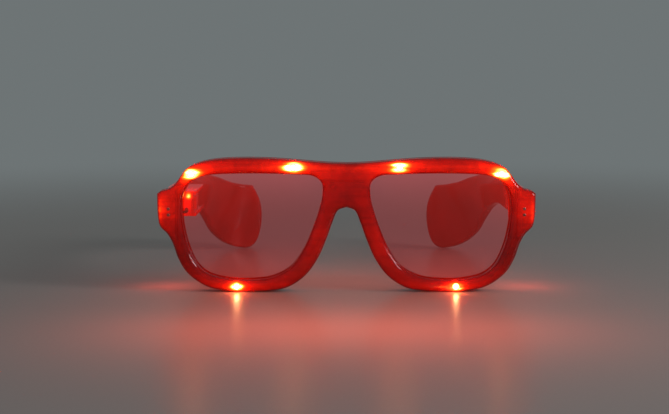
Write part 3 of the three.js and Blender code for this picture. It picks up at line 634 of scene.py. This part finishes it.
# Lenses: flat clear sheet with a pale pink tint, 1 mm thick, dropped into the rear cover's rebate. The
# lamps' light that reaches the sheet leaves a faint red haze in it.
lens_front = 6.2 * mm
lens_back = lens_front + 1 * mm
lens_overlap = 0.7 * mm
lens_rounding = 0.12 * mm
lens_pink, tree, shader = new_material("lens_pink", {
    "IOR": 1.45, "Transmission Weight": 1, "Emission Strength": 0.29,
})
smear = noise(tree, 55, 4, Roughness=0.6, Distortion=0.6)
light = node(tree, "Group", {"Reach": 9 * mm, "Least": 0.1}, node_tree=lamp_glow)
fill(shader, {
    "Roughness": ranged(tree, smear, (0.4, 0.7), (0.015, 0.045)),
    "Base Color": mixed(tree, smear, (0.93, 0.5, 0.54), (0.88, 0.44, 0.48)),
    "Emission Color": mixed(tree, light.outputs["Amount"], (0, 0, 0), (1, 0.03, 0.01)),
})
for word, loop in zip(("left", "right"), openings):
    lens = plate(f"clear_lens_{word}", [loop], lens_front, lens_back, lens_rounding, 1, lens_overlap)
    finished(lens, lens_pink, "front", "lens", f"lens_{word}")


# Lamps: clear epoxy bodies with a round nose, 2.6 mm across, that stand a little proud of the front. A
# flange seats each one behind the face, and its two square legs reach the wires in the channel. Soft
# unseen lights stand in for what the lamps and the rims throw on the table and the temples.
left_right = (("left", -1), ("right", 1))
lamp_proud = 1 * mm
flange_start, flange_end = 1.75 * mm, 2.55 * mm
flange_play = 0.1 * mm
leg_side, leg_spread, leg_end = 0.45 * mm, 0.65 * mm, 4.9 * mm
leg_bite = 0.4 * mm
lamp_light_colour = (1, 0.12, 0.03)
wash_colour = (1, 0.14, 0.07)
leak_colour = (1, 0.1, 0.05)
lamp_powers = {"outer": 0.008, "inner": 0.008, "bottom": 0.003}


def carried(name, rings):
    """A solid made by extruding a ring of points again and again, onto the next ring each time."""
    made = begun(name, bpy.ops.mesh.primitive_circle_add, vertices=len(rings[0]), fill_type="NGON")
    bpy.ops.object.mode_set(mode="EDIT")
    mesh = bmesh.from_edit_mesh(made.data)
    seat = mesh.verts.layers.int.new("seat")
    mesh.verts.ensure_lookup_table()
    for vert, point in zip(mesh.verts, rings[0]):
        vert[seat] = vert.index
        vert.co = point
    for ring in rings[1:]:
        bpy.ops.mesh.extrude_region_move()
        mesh = bmesh.from_edit_mesh(made.data)
        seat = mesh.verts.layers.int["seat"]
        for vert in mesh.verts:
            if vert.select:
                vert.co = ring[vert[seat]]
    worked(bpy.ops.mesh.normals_make_consistent, inside=False)
    return made


def turned(name, profile, start, ahead, count=40):
    """A turned solid: each row of its profile is a distance ahead of the start and a radius."""
    turn = Vector(ahead).to_track_quat("Z", "Y").to_matrix()
    angles = [2 * math.pi * i / count for i in range(count)]
    rings = []
    for far, radius in profile:
        ring = [Vector((radius * math.cos(angle), radius * math.sin(angle), far)) for angle in angles]
        rings.append([Vector(start) + turn @ point for point in ring])
    return carried(name, rings)


def copied(piece, name, move):
    """A copy with its own mesh, moved to its place."""
    made = placed(name, piece.data.copy())
    made.data.transform(Matrix.Translation(move))
    return made


def small_light(name, kind, place, power, **settings):
    """A light that the eye sees only by what it falls on."""
    light = light_at(name, kind, place, power, **settings)
    light.visible_camera = light.visible_transmission = light.visible_glossy = False
    return light


def rounded_end(end, radius, drop, steps=5, degrees=84, flat=0):
    """The profile rows of a low dome, or of a rounded edge round a flat, that ends a turned piece."""
    turns = [i / steps * math.radians(degrees) for i in range(steps + 1)]
    return [(end - drop + drop * math.sin(turn), flat + radius * math.cos(turn)) for turn in turns]


lamp_light, tree, shader = new_material("lamp_light", {"Roughness": 0.08, "Emission Strength": 28})
flat = both_sides(tree, own_place(tree))
flat_place = node(tree, "CombineXYZ", {"X": flat["X"], "Z": flat["Z"]}).outputs[0]
nearest = half_width
for lamp in lamp_places:
    away = reckon_place(tree, "DISTANCE", flat_place, (lamp.x, 0, lamp.z))
    nearest = reckon(tree, "MINIMUM", nearest, away)
inward = ranged(tree, nearest, (0, lamp_radius))
fill(shader, {
    "Base Color": mixed(tree, inward, (1, 0.4, 0.15), (0.8, 0.1, 0.03)),
    "Emission Color": ramped(tree, inward, [
        (0, (1, 0.82, 0.5)), (0.4, (1, 0.7, 0.3)), (0.75, (0.9, 0.3, 0.06)), (1, (0.55, 0.05, 0.006)),
    ]),
})

flange_edge = flange_radius - flange_play
lamp_body = turned("lamp_body", [
    (-flange_end, flange_edge), (-flange_start, flange_edge), (-flange_start, lamp_radius),
    *rounded_end(lamp_proud, lamp_radius, lamp_radius, 12, 88),
], (0, 0, 0), (0, -1, 0))
for side in (-1, 1):
    x = side * leg_spread
    join(lamp_body, brick("leg", (x - leg_side / 2, flange_end - leg_bite, -leg_side / 2),
                          (x + leg_side / 2, leg_end, leg_side / 2)))
for word, side in left_right:
    for name, lamp in zip(lamp_powers, lamp_places):
        lit = copied(lamp_body, f"lit_lamp_{name}_{word}", (side * lamp.x, lamp.y, lamp.z))
        finished(lit, lamp_light, "front", "lamp", f"lamp_{name}_{word}")
        small_light(f"lamp_shine_{name}_{word}", "POINT", at(side * lamp.x, -1.5 * lamp_radius, lamp.z),
                    lamp_powers[name], color=lamp_light_colour, shadow_soft_size=lamp_radius)
bpy.data.objects.remove(lamp_body)
for name, depth, tilt, power in (("front", -72 * mm, -15, 0.085), ("back", 24 * mm, 20, 0.035)):
    wash = small_light(f"lamp_wash_{name}", "AREA", at(0, depth, full_height), power, color=wash_colour,
                       shape="RECTANGLE", size=1.7 * half_width, size_y=12 * mm)
    wash.rotation_euler = (math.radians(tilt), 0, 0)
for side in (-1, 1):
    small_light("side_leak", "POINT", at(side * 72 * mm, 14 * mm, 13 * mm), 0.01, color=leak_colour,
                shadow_soft_size=5 * mm)


# Lamp wires: a red and a black insulated wire, 0.7 mm thick, laid in the channel side by side. Each runs
# from the bottom lamp of one rim round its outer side, along the brow and over the bridge to the other.
wire_radius = 0.35 * mm
wire_depth = 5.55 * mm
bridge_lead_in = 5.2 * mm


def tube(name, points, radius, steps=5):
    """A round wire along points, with closed ends."""
    return line_mesh(name, [points], radius, steps, dimensions="3D", use_fill_caps=True)


# One surface whose colour, gloss and relief follow the same soft marks
tree, given, result = new_group("soft_marks", (
    "Colour", "Mark Colour", "Scale", "Detail", "Least Gloss", "Most Gloss", "Depth",
))
marks = noise(tree, given["Scale"], given["Detail"])
fill(result, {
    "Base Color": mixed(tree, marks, given["Colour"], given["Mark Colour"]),
    "Roughness": ranged(tree, marks, end=(given["Least Gloss"], given["Most Gloss"])),
    "Normal": bumped(tree, marks, given["Depth"], 0.5),
})
soft_marks = tree


def insulation(name, colour, dust):
    """Soft plastic insulation: an even colour with a little dust and a satin surface."""
    return covered(name, soft_marks, (colour, dust, 1400, 3, 0.35, 0.6, 0.04 * mm),
                   {"Specular IOR Level": 0.4})


wire_red = insulation("wire_red", (0.45, 0.012, 0.01), (0.3, 0.02, 0.018))
wire_black = insulation("wire_black", (0.012, 0.012, 0.013), (0.035, 0.034, 0.033))
loop = list(reversed(right_opening))
start = min(range(len(loop)), key=lambda i: (loop[i] - Vector((bottom_lamp.x, bottom_lamp.z))).length)
loop = loop[start:] + loop[:start]
loop_middle = sum(loop, Vector((0, 0))) / len(loop)
for name, offset, colour, material in (("inner", 1.65 * mm, "red", wire_red),
                                       ("outer", 2.75 * mm, "black", wire_black)):
    half = []
    for before, point, after in zip(loop, loop[1:], loop[2:]):
        if point.y > full_height / 2 and point.x < inner_lamp.x - bridge_lead_in:
            break
        ahead = (after - before).normalized()
        out = Vector((ahead.y, -ahead.x))
        out *= math.copysign(offset, out.dot(point - loop_middle))
        half.append((point.x + out.x, front_y + wire_depth, point.y + out.y))
    points = half + [(-x, y, z) for x, y, z in reversed(half)]
    wire = tube(f"lamp_wire_{name}", points, wire_radius)
    finished(wire, material, "front", f"wire_{colour}", f"wire_{name}", smooth=60)


# Rivets and screws: two small plated rivets in each lug, two slotted screws that close the bridge from
# behind, and a slotted hinge screw through the ears and the knuckle on each side.
rivet_radius, rivet_head_radius = 0.4 * mm, 0.65 * mm
rivet_back, rivet_seat, rivet_tip = -3 * mm, 0.1 * mm, 0.4 * mm
rivet_dome = 0.22 * mm
bridge_screw_head, bridge_screw_shank = 1.5 * mm, 0.8 * mm
bridge_screw_tip, bridge_screw_neck, bridge_screw_top = 1.75 * mm, 7.35 * mm, 8.1 * mm
bridge_thread = (2.1 * mm, 6.2 * mm)
hinge_screw_head, hinge_screw_shank = 1.7 * mm, 1 * mm
hinge_screw_low, hinge_screw_neck, hinge_screw_top = 24.2 * mm, 40.2 * mm, 41 * mm
screw_dome = 0.3 * mm
slot_width, slot_depth = 0.6 * mm, 0.4 * mm
thread_pitch = 0.5 * mm
thread_depth = 0.12 * mm


# Plated metal: fine marks drawn out one way, small dull spots and an uneven shine
tree, given, result = new_group("plated_metal", ("Colour", "Dull Colour", "Gloss", "Across", "Marks"))
drawn = reckon_place(tree, "MULTIPLY", own_place(tree), given["Across"])
lines = noise(tree, given["Marks"], 4, drawn)
worn = ranged(tree, noise(tree, 500, 2), (0.5, 0.75))
uneven = ranged(tree, lines, end=(0.6, 1.5))
fill(result, {
    "Base Color": mixed(tree, worn, given["Colour"], given["Dull Colour"]),
    "Roughness": reckon(tree, "MULTIPLY", uneven, given["Gloss"]),
    "Normal": bumped(tree, lines, 0.03 * mm, 0.6),
})
plated_metal = tree


def metal(name, colour, dull, gloss, across=(1, 1, 1), marks=900):
    """A plated metal with its own colours, shine and marks."""
    return covered(name, plated_metal, (colour, dull, gloss, across, marks), {"Metallic": 1})


def threaded(start, end, radius):
    """The profile rows of a shank with shallow thread crests."""
    rows = []
    crests = int((end - start) / thread_pitch)
    step = (end - start) / crests
    for i in range(crests):
        rows += [(start + i * step, radius - thread_depth), (start + (i + 0.5) * step, radius)]
    return rows


screw_steel = metal("screw_steel", (0.72, 0.72, 0.74), (0.5, 0.49, 0.48), 0.22)
# The rivets' steel is tinted red all over: a painted reflection of the lamps' red glow.
rivet_steel_red_reflection = metal("rivet_steel_red_reflection", (0.62, 0.2, 0.17), (0.4, 0.1, 0.08), 0.34)
rivet = turned("rivet", [
    (rivet_back, rivet_radius), (rivet_seat, rivet_radius), (rivet_seat, rivet_head_radius),
    *rounded_end(rivet_tip, rivet_head_radius, rivet_dome),
], (0, front_y, 0), (0, -1, 0), 28)
bridge_screw = turned("bridge_screw", [
    (bridge_screw_tip, 0.3 * mm), *threaded(*bridge_thread, bridge_screw_shank),
    (bridge_thread[1], bridge_screw_shank), (bridge_screw_neck, bridge_screw_shank),
    (bridge_screw_neck, bridge_screw_head), *rounded_end(bridge_screw_top, bridge_screw_head, screw_dome),
], (0, front_y, 0), (0, 1, 0))
slot_reach = bridge_screw_head + mm
cut(bridge_screw, brick("slot", at(-slot_reach, bridge_screw_top - slot_depth, -slot_width / 2),
                        at(slot_reach, bridge_screw_top + mm, slot_width / 2)))
hinge_screw = turned("hinge_screw", [
    (hinge_screw_low, hinge_screw_shank - thread_depth),
    *threaded(hinge_screw_low + 0.2 * mm, hinge_screw_low + 3.8 * mm, hinge_screw_shank),
    (hinge_screw_low + 4 * mm, hinge_screw_shank), (hinge_screw_neck, hinge_screw_shank),
    (hinge_screw_neck, hinge_screw_head), *rounded_end(hinge_screw_top, hinge_screw_head, screw_dome),
], (0, hinge_place.y, 0), (0, 0, 1))
cut(hinge_screw, brick("slot", (-slot_reach, hinge_place.y - slot_width / 2, hinge_screw_top - slot_depth),
                       (slot_reach, hinge_place.y + slot_width / 2, hinge_screw_top + mm)))
for word, side in left_right:
    for name in ("upper", "lower"):
        place = middle_of(f"rivet_{name}_{word}")
        fixing = copied(rivet, f"plated_rivet_{name}_{word}", (place.x, 0, place.z))
        finished(fixing, rivet_steel_red_reflection, "front", "screw_steel", f"rivet_{name}_{word}")
    for name, pattern, x, z in (("bridge", bridge_screw, bridge_spread, bridge_height),
                                ("hinge", hinge_screw, hinge_place.x, 0)):
        fixing = copied(pattern, f"slotted_{name}_screw_{word}", (side * x, 0, z))
        finished(fixing, screw_steel, "front", "screw_steel", f"{name}_screw_{word}")
for pattern in (rivet, bridge_screw, hinge_screw):
    bpy.data.objects.remove(pattern)


# Temples: one moulding each, 4.6 mm thick, straight for over half its length and then curled inward and
# down behind the ear into a broad end. Hollow on the head's side near the hinge, solid at the ear.
temple_thickness = 4.6 * mm
temple_bottom, temple_top = 27 * mm, 40 * mm
temple_outer = half_width - 1.1 * mm
temple_start = front_y + 17.5 * mm
temple_run = 117.5 * mm
ear_curl = 31 * mm
ear_tip_height = 15.2 * mm
ear_thickness = 3.8 * mm
ear_end_height = 31 * mm
temple_corner = 1.6 * mm
temple_rounding = 0.25 * mm
tip_rounding = 7 * mm
tip_share = 0.12
taper_start, taper_end = 0.55, 0.95
temple_path_shares = [
    (0, 0, 0), (0.2, 0, 0), (0.4, 0, 0), (0.56, 0.015, 0), (0.68, 0.06, 0.08), (0.78, 0.15, 0.22),
    (0.86, 0.275, 0.46), (0.92, 0.43, 0.73), (0.963, 0.61, 0.91), (0.988, 0.8, 0.985), (1, 1, 1),
]
temple_stations = 64
tip_stations = 10
corner_steps = 7
hollow_wall = 1.2 * mm
hollow_depth = 3.4 * mm
cover_play = 0.2 * mm
knuckle_low, knuckle_high = 28.3 * mm, 35.7 * mm
arm_reach = 0.6 * mm
button_hole = 5.5 * mm

temple_inner = temple_outer - temple_thickness
temple_middle = (temple_outer + temple_inner) / 2
temple_height = temple_top - temple_bottom
middle_height = (temple_bottom + temple_top) / 2
ear_drop = middle_height - ear_tip_height
temple_line = smooth_line([
    (temple_middle - inward * ear_curl, temple_start + along * temple_run, middle_height - down * ear_drop)
    for along, inward, down in temple_path_shares
], 24)
reach = [0]
for a, b in zip(temple_line, temple_line[1:]):
    reach.append(reach[-1] + (b - a).length)


def held(share):
    """A share kept between none and all."""
    return min(max(share, 0), 1)


def along_temple(share):
    """The place and the direction of the temple's middle line at a share of its length."""
    wanted = share * reach[-1]
    i = max(1, next((k for k, value in enumerate(reach) if value >= wanted), len(reach) - 1))
    a, b = temple_line[i - 1], temple_line[i]
    return a.lerp(b, (wanted - reach[i - 1]) / (reach[i] - reach[i - 1])), (b - a).normalized()


def temple_section(share):
    """The rounded section of the temple at a share of its length, as points in order round it."""
    middle, ahead = along_temple(share)
    out = ahead.cross(Vector((0, 0, 1))).normalized()
    rise = out.cross(ahead)
    t = held((share - taper_start) / (taper_end - taper_start))
    bend = t * t * (3 - 2 * t)
    gone = held(1 - (1 - share) * reach[-1] / tip_rounding)
    close = max(math.sqrt(1 - gone**2), tip_share)
    wide = (temple_thickness + bend * (ear_thickness - temple_thickness)) * close / 2
    tall = (temple_height + bend * (ear_end_height - temple_height)) * close / 2
    corner = min(temple_corner, wide, tall)
    ring = []
    for quarter, (right, up) in enumerate(((1, 1), (-1, 1), (-1, -1), (1, -1))):
        for i in range(corner_steps + 1):
            turn = (quarter + i / corner_steps) * math.pi / 2
            across = right * (wide - corner) + corner * math.cos(turn)
            above = up * (tall - corner) + corner * math.sin(turn)
            ring.append(middle + out * across + rise * above)
    return ring


tip_start = 1 - tip_rounding / reach[-1]
section_shares = [i / temple_stations * tip_start for i in range(temple_stations)]
section_shares += [tip_start + (1 - tip_start) * math.sin(i / tip_stations * math.pi / 2)
                   for i in range(tip_stations + 1)]


def bare_temple(name):
    """The temple before its hollow is cut, with its tip flat on the table."""
    made = carried(name, [temple_section(share) for share in section_shares])
    worked(bpy.ops.mesh.bisect, plane_co=(0, 0, 0), plane_no=(0, 0, 1), use_fill=True, clear_inner=True)
    return softened(made, temple_rounding, 2, 60)


def to_left(piece):
    """Turns a right-hand piece over to the left side."""
    piece.data.transform(Matrix.Scale(-1, 4, (1, 0, 0)))
    piece.data.flip_normals()
    return piece


temple_red = plastic("temple_red", (0.55, 0.008, 0.003), (0.36, 0.004, 0.0015), 0.08, clear=0.45, glow=11,
                     shine=0.4, reach=8 * mm, sides=0.5)
lid_red = plastic("lid_red", (0.6, 0.01, 0.004), (0.42, 0.005, 0.002), 0.1, clear=0.5, glow=11, shine=0.4,
                  reach=8 * mm, sides=0.6)
lid_low, lid_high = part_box("temple_cover_right")
button_place = middle_of("push_button")
x, y = hinge_place.x, hinge_place.y
for word, side in left_right:
    temple = bare_temple(f"ear_piece_{word}")
    cut(temple, brick("hollow", (temple_inner - mm, lid_low.y - cover_play, temple_bottom + hollow_wall),
                      (temple_inner + hollow_depth, lid_high.y + cover_play, temple_top - hollow_wall)))
    knuckle = rod("knuckle", (x, y, knuckle_low), (x, y, knuckle_high), knuckle_radius)
    join(knuckle, brick("arm", (x - knuckle_radius, y, knuckle_low),
                        (x + knuckle_radius, temple_start + arm_reach, knuckle_high)))
    join(temple, softened(knuckle, ear_rounding))
    cut(temple, rod("bore", (x, y, knuckle_low - mm), (x, y, knuckle_high + mm), screw_bore / 2))
    if side < 0:
        cut(temple, rod("button_hole", (temple_inner + mm, button_place.y, button_place.z),
                        (temple_outer + 2 * mm, button_place.y, button_place.z), button_hole / 2))
        to_left(temple)
    finished(temple, temple_red, f"temple_{word}", "temple_red", f"temple_shell_{word}")


# Right temple cover: a flat red plate, 1 mm thick, that clips into the hollow's mouth. It has a shallow
# sunk panel and a notch at its back end for a fingernail.
lid_rounding = 0.25 * mm
panel_margin, panel_depth, panel_rounding = 1.2 * mm, 0.25 * mm, 0.2 * mm
notch_radius = 1.4 * mm
notch_depth = 0.4 * mm
lid = brick("temple_lid_right", lid_low, lid_high, lid_rounding)
panel_end = lid_high.y - 3 * panel_margin - 2 * notch_radius
panel = brick("panel", (lid_low.x - mm, lid_low.y + panel_margin, lid_low.z + panel_margin),
              (lid_low.x + panel_depth, panel_end, lid_high.z - panel_margin))
notch_place = Vector((lid_low.x, lid_high.y - panel_margin - notch_radius, (lid_low.z + lid_high.z) / 2))
cut(lid, softened(panel, panel_rounding),
    rod("notch", notch_place - Vector((mm, 0, 0)), notch_place + Vector((notch_depth, 0, 0)), notch_radius))
finished(lid, lid_red, "temple_right", "cover_red", "temple_cover_right")


# Battery box: one red moulding that closes the left temple's hollow. One chamber holds the three cells,
# the other the flasher board, and two rails on its face guide the sliding door over the cells' window.
def on_right(x, depth, z):
    """A place in millimetres on the right-hand side, its depth counted from the front face."""
    return at(x * mm, depth * mm, z * mm)


# Sizes in millimetres
block_start, block_end = 19.7, 53.7
block_face, rail_face = 63.3, 61.4
box_low, box_high = 28.4, 38.6
rail_rounding = 0.15 * mm
box = brick("battery_box", on_right(70.3, 19.1, box_low), on_right(69.3, 58.7, box_high), 0.25 * mm)
join(box, brick("block", on_right(70.2, block_start, box_low), on_right(block_face, block_end, box_high),
                0.35 * mm))
for name, root, tall in (("rail", 63.8, 0.6), ("lip", 62, 1.4)):
    for low_z, high_z in ((box_low, box_low + tall), (box_high - tall, box_high)):
        join(box, brick(name, on_right(root, block_start, low_z), on_right(rail_face, block_end, high_z),
                        rail_rounding, 2))
for name, start, end in (("cell_chamber", 20.7, 36.1), ("board_chamber", 37.1, 52.7)):
    cut(box, brick(name, on_right(64.3, start, 29.4), on_right(72, end, 37.6)))
cut(box, softened(brick("window", on_right(63, 21.7, 30.8), on_right(64.5, 35.1, 36.2)), 0.5 * mm),
    rod("lead_hole", on_right(65.3, 18, 31), on_right(65.3, 21, 31), lead_hole / 2))
finished(to_left(box), lid_red, "temple_left", "cover_red", "battery_cover")


# Battery door: a thin red plate that slides in the rails, with a spark-eroded surface. Three ribs across
# one end give the thumb a grip, and a fine line marks the end of its travel.
door = brick("sliding_door", on_right(63.1, 20.2, 29.25), on_right(62.3, 37.2, 37.75), rail_rounding, 2)
for start in (21.2, 23.2, 25.2):
    join(door, brick("rib", on_right(62.4, start, 31), on_right(61.5, start + 1, 36), 0.3 * mm))
cut(door, brick("line", on_right(62.2, 35.2, 30.2), on_right(62.42, 35.5, 36.8)))
door_red = plastic("door_red", (0.42, 0.008, 0.004), (0.3, 0.005, 0.003), 0.38, clear=0.25, glow=6,
                   grain=0.8, reach=9 * mm, sides=0.6)
finished(to_left(door), door_red, "door", "door_red", "battery_door")


# Button cells: three alike, plated steel cans with a smaller cap on a dark sealing ring. They lie in a row
# in the cell chamber, caps towards the hinge.
cell_pitch = middle_of("cell_2").y - middle_of("cell_1").y
cell_low, cell_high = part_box("cell_1")
cell_radius = (cell_high.x - cell_low.x) / 2
cell_depth = cell_high.y - cell_low.y
cell_start = Vector((middle_of("cell_1").x, cell_low.y, middle_of("cell_1").z))
cap_depth = 0.5 * mm
cap_radius = cell_radius - 0.5 * mm
cell_edge = 0.3 * mm
edge_step = 0.3 * cell_edge
ring_width = 0.12 * mm
closeness = 0.01 * mm
cell_steel = metal("cell_steel", (0.78, 0.78, 0.79), (0.62, 0.61, 0.6), 0.16, (0.2, 1, 1), 1200)
ring_black = insulation("ring_black", (0.015, 0.015, 0.015), (0.03, 0.03, 0.03))
cell = turned("cell", [
    (0, cap_radius - cell_edge), (edge_step, cap_radius - edge_step), (cell_edge, cap_radius),
    (cap_depth, cap_radius), (cap_depth, cap_radius + ring_width), (cap_depth, cell_radius - cell_edge),
    (cap_depth + edge_step, cell_radius - edge_step), (cap_depth + cell_edge, cell_radius),
    (cell_depth - cell_edge, cell_radius), (cell_depth - edge_step, cell_radius - edge_step),
    (cell_depth, cell_radius - cell_edge), (cell_depth, cell_radius - 1.4 * mm),
    (cell_depth - 0.08 * mm, cell_radius - 1.5 * mm),
], cell_start, (0, 1, 0), 64)
painted(cell, cell_steel, ring_black)
for face in cell.data.polygons:
    middle = face.center - cell_start
    past_cap = math.hypot(middle.x, middle.z) - cap_radius
    if abs(middle.y - cap_depth) < closeness and 0 < past_cap < ring_width + closeness:
        face.material_index = 1
for i in range(3):
    can = copied(cell, f"button_cell_{i + 1}", (0, i * cell_pitch, 0))
    finished(can, None, "temple_left", "cell_steel", f"cell_{i + 1}")
bpy.data.objects.remove(cell)


# Contacts: nickel-plated spring steel at both ends of the cells, pushed into the box's end walls. The one
# by the hinge carries a conical spring, and the other has two pressed dimples.
contact_nickel = metal("contact_nickel", (0.7, 0.67, 0.6), (0.5, 0.46, 0.4), 0.25, (1, 1, 0.15))
contact_rounding = 0.08 * mm
blade_thickness = 0.3 * mm
spring_turns, spring_steps = 2.5, 75
coil_wire = 0.25 * mm
coil_wide, coil_narrow = 2.95 * mm, 0.98 * mm
dimple_radius, dimple_depth = 0.7 * mm, 0.1 * mm
low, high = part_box("spring_contact")
middle = (low + high) / 2
blade = brick("coil_contact", low, (high.x, low.y + blade_thickness, high.z))
softened(blade, contact_rounding, 2)
coil_start, coil_end = low.y + blade_thickness + coil_wire, high.y - coil_wire
points = []
for i in range(spring_steps + 1):
    t = i / spring_steps
    turn = 2 * math.pi * spring_turns * t
    radius = coil_wide * (1 - t) + coil_narrow * t
    points.append((middle.x + radius * math.cos(turn), coil_start + (coil_end - coil_start) * t,
                   middle.z + radius * math.sin(turn)))
join(blade, tube("coil", points, coil_wire, 4))
finished(blade, contact_nickel, "temple_left", "contact", "spring_contact")
low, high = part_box("plate_contact")
middle = (low + high) / 2
blade = softened(brick("dimple_contact", low, high), contact_rounding, 2)
for share in (-0.3, 0.3):
    z = middle.z + share * (high.z - low.z)
    cut(blade, rod("dimple", (middle.x, low.y - mm, z), (middle.x, low.y + dimple_depth, z), dimple_radius))
finished(blade, contact_nickel, "temple_left", "contact", "plate_contact")


# Flasher board: a thin green circuit board with tinned pads and tracks under the resist. Its chip sits
# under a black blob of resin, and the push switch is soldered to its other side.
board_low, board_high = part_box("flasher_board")
board_rounding = 0.05 * mm
pad_half, pad_height, pad_sink = 0.55 * mm, 0.06 * mm, 0.02 * mm
pad_pitch, pad_start, pad_inset = 2.6 * mm, 2 * mm, 1 * mm


def gathered(*pieces):
    """Pieces with materials of their own, made one with the last of them."""
    pick(*pieces)
    bpy.ops.object.join()
    return pieces[-1]


board_green, tree, shader = new_material("board_green", {"Coat Weight": 0.3})
place = node(tree, "Mapping", {"Vector": own_place(tree), "Rotation": (0, math.pi / 2, 0)}).outputs[0]
tracks = node(tree, "TexBrick", {
    "Vector": place, "Scale": 420, "Mortar Size": 0.09, "Brick Width": 1.1, "Row Height": 0.5,
    "Color1": (0.012, 0.13, 0.035), "Color2": (0.015, 0.16, 0.045), "Mortar": (0.05, 0.3, 0.1),
}).outputs
fill(shader, {
    "Base Color": tracks["Color"],
    "Roughness": ranged(tree, noise(tree, 2500, 2), end=(0.28, 0.45)),
    "Normal": bumped(tree, tracks["Fac"], 0.04 * mm, 0.6),
})
board = painted(softened(brick("green_board", board_low, board_high), board_rounding, 2), board_green)
solder = []
for i in range(5):
    for z in (board_low.z + pad_inset, board_high.z - pad_inset):
        pad = turned("pad", [
            (-pad_sink, pad_half), (pad_height, pad_half), (pad_height + 0.1 * mm, 0.3 * pad_half),
        ], (board_high.x, board_low.y + pad_start + i * pad_pitch, z), (1, 0, 0), 20)
        solder.append(painted(pad, contact_nickel))
finished(gathered(*solder, board), None, "temple_left", "board", "flasher_board")

resin_marks = ((0.008, 0.008, 0.009), (0.022, 0.021, 0.02), 650, 2, 0.12, 0.32, 0.2 * mm)
resin_black = covered("resin_black", soft_marks, resin_marks, {})
low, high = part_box("flasher_chip")
middle = (low + high) / 2
blob_height, blob_radius = high.x - low.x, (high.y - low.y) / 2
outward = 1 if middle.x > middle_of("flasher_board").x else -1
blob = turned("resin_blob", [
    (0, blob_radius), *rounded_end(blob_height, 0.98 * blob_radius, 0.9 * blob_height, 8),
], (middle.x - outward * blob_height / 2, middle.y, middle.z), (outward, 0, 0))
finished(blob, resin_black, "temple_left", "resin", "flasher_chip")


# Push switch: a cream moulded body with a plated top plate and a round plunger. The button that the
# finger presses is a turned red cap with a dished top and a flange behind the temple's wall.
switch_cream = plastic("switch_cream", (0.72, 0.7, 0.62), (0.6, 0.57, 0.5), 0.42, grain=0.6)
switch_half = 2.25 * mm
switch_base, switch_top, plunger_top = 67 * mm, 70 * mm, 70.9 * mm
plunger_radius, plunger_edge = 1.1 * mm, 0.2 * mm
middle = Vector((0, middle_of("switch_body").y, middle_of("switch_body").z))
parts = []
for name, start, end, rounding, steps, material in (
    ("tact_switch", switch_base, switch_top - 0.3 * mm, 0.2 * mm, 3, switch_cream),
    ("top_plate", switch_top - 0.32 * mm, switch_top, 0.1 * mm, 2, screw_steel),
):
    block = brick(name, middle + Vector((start, -switch_half, -switch_half)),
                  middle + Vector((end, switch_half, switch_half)))
    parts.append(painted(softened(block, rounding, steps), material))
plunger = turned("plunger", [
    (switch_top - plunger_edge, plunger_radius), (plunger_top - plunger_edge, plunger_radius),
    (plunger_top, plunger_radius - plunger_edge),
], middle, (1, 0, 0), 32)
parts.append(painted(plunger, resin_black))
for along in (-0.7, 0.7):
    for up in (-0.7, 0.7):
        stud = turned("stud", [(switch_top - 0.1 * mm, 0.3 * mm), (switch_top + 0.08 * mm, 0.22 * mm)],
                      middle + Vector((0, along * switch_half, up * switch_half)), (1, 0, 0), 16)
        parts.append(painted(stud, switch_cream))
body = gathered(*reversed(parts))
finished(to_left(body), None, "temple_left", "switch", "switch_body")

button_red = plastic("button_red", (0.45, 0.008, 0.004), (0.32, 0.005, 0.003), 0.14, clear=0.2, waves=0.05)
flange_low, flange_high, button_top = 71.75 * mm, 72.45 * mm, 75 * mm
button_flange, button_radius, button_edge = 3.2 * mm, 2.5 * mm, 0.35 * mm
flange_bevel = 0.1 * mm
dish_depth, dish_margin = 0.25 * mm, 0.45 * mm
profile = [
    (flange_low, button_flange - flange_bevel), (flange_low + flange_bevel, button_flange),
    (flange_high - flange_bevel, button_flange), (flange_high, button_flange - flange_bevel),
    (flange_high, button_radius),
    *rounded_end(button_top, button_edge, button_edge, 5, 90, button_radius - button_edge),
]
for i in range(1, 7):
    inner = (button_radius - dish_margin) * (1 - i / 6.3)
    profile.append((button_top - dish_depth * math.sin(i / 6 * math.pi / 2), inner))
cap = turned("button_cap", profile, (0, button_place.y, button_place.z), (1, 0, 0), 56)
finished(to_left(cap), button_red, "button", "button_red", "push_button")


# Leads: thin insulated wires from the contacts to the board, and one thicker lead that leaves the rear
# cover, curves past the hinge and goes into the battery box.
thin_lead, thick_lead = 0.525 * mm / 2, 0.6 * mm
short_route = [(71, 35.7, 30.55), (71, 37.4, 30.55), (70.3, 38.1, 30.55), (67.7, 38.1, 30.55),
               (67, 38.1, 30.55)]
long_route = [(72, 20.9, 28.9), (72, 37.4, 28.9), (72, 38.1, 29.25), (70.6, 39.5, 30.7), (67, 39.85, 30.7)]
hinge_route = [(68.8, 6.4, 31), (68.8, 8.2, 31), (67.36, 10, 31), (64.96, 12, 31), (64.6, 15.2, 31),
               (64.9, 17.5, 31), (65.3, 19.1, 31), (65.3, 20.5, 31)]
for name, route, material, slot in (("short", short_route, wire_red, "wire_red"),
                                    ("long", long_route, wire_black, "wire_black")):
    lead = tube(f"thin_lead_{name}", [on_right(*place) for place in route], thin_lead)
    finished(to_left(lead), material, "temple_left", slot, f"battery_lead_{name}", smooth=60)
lead = tube("bending_lead", smooth_line([on_right(*place) for place in hinge_route], 8), thick_lead, 8)
finished(to_left(lead), wire_black, None, "wire_black", "hinge_lead", smooth=60)
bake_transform(lead)


low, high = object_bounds()
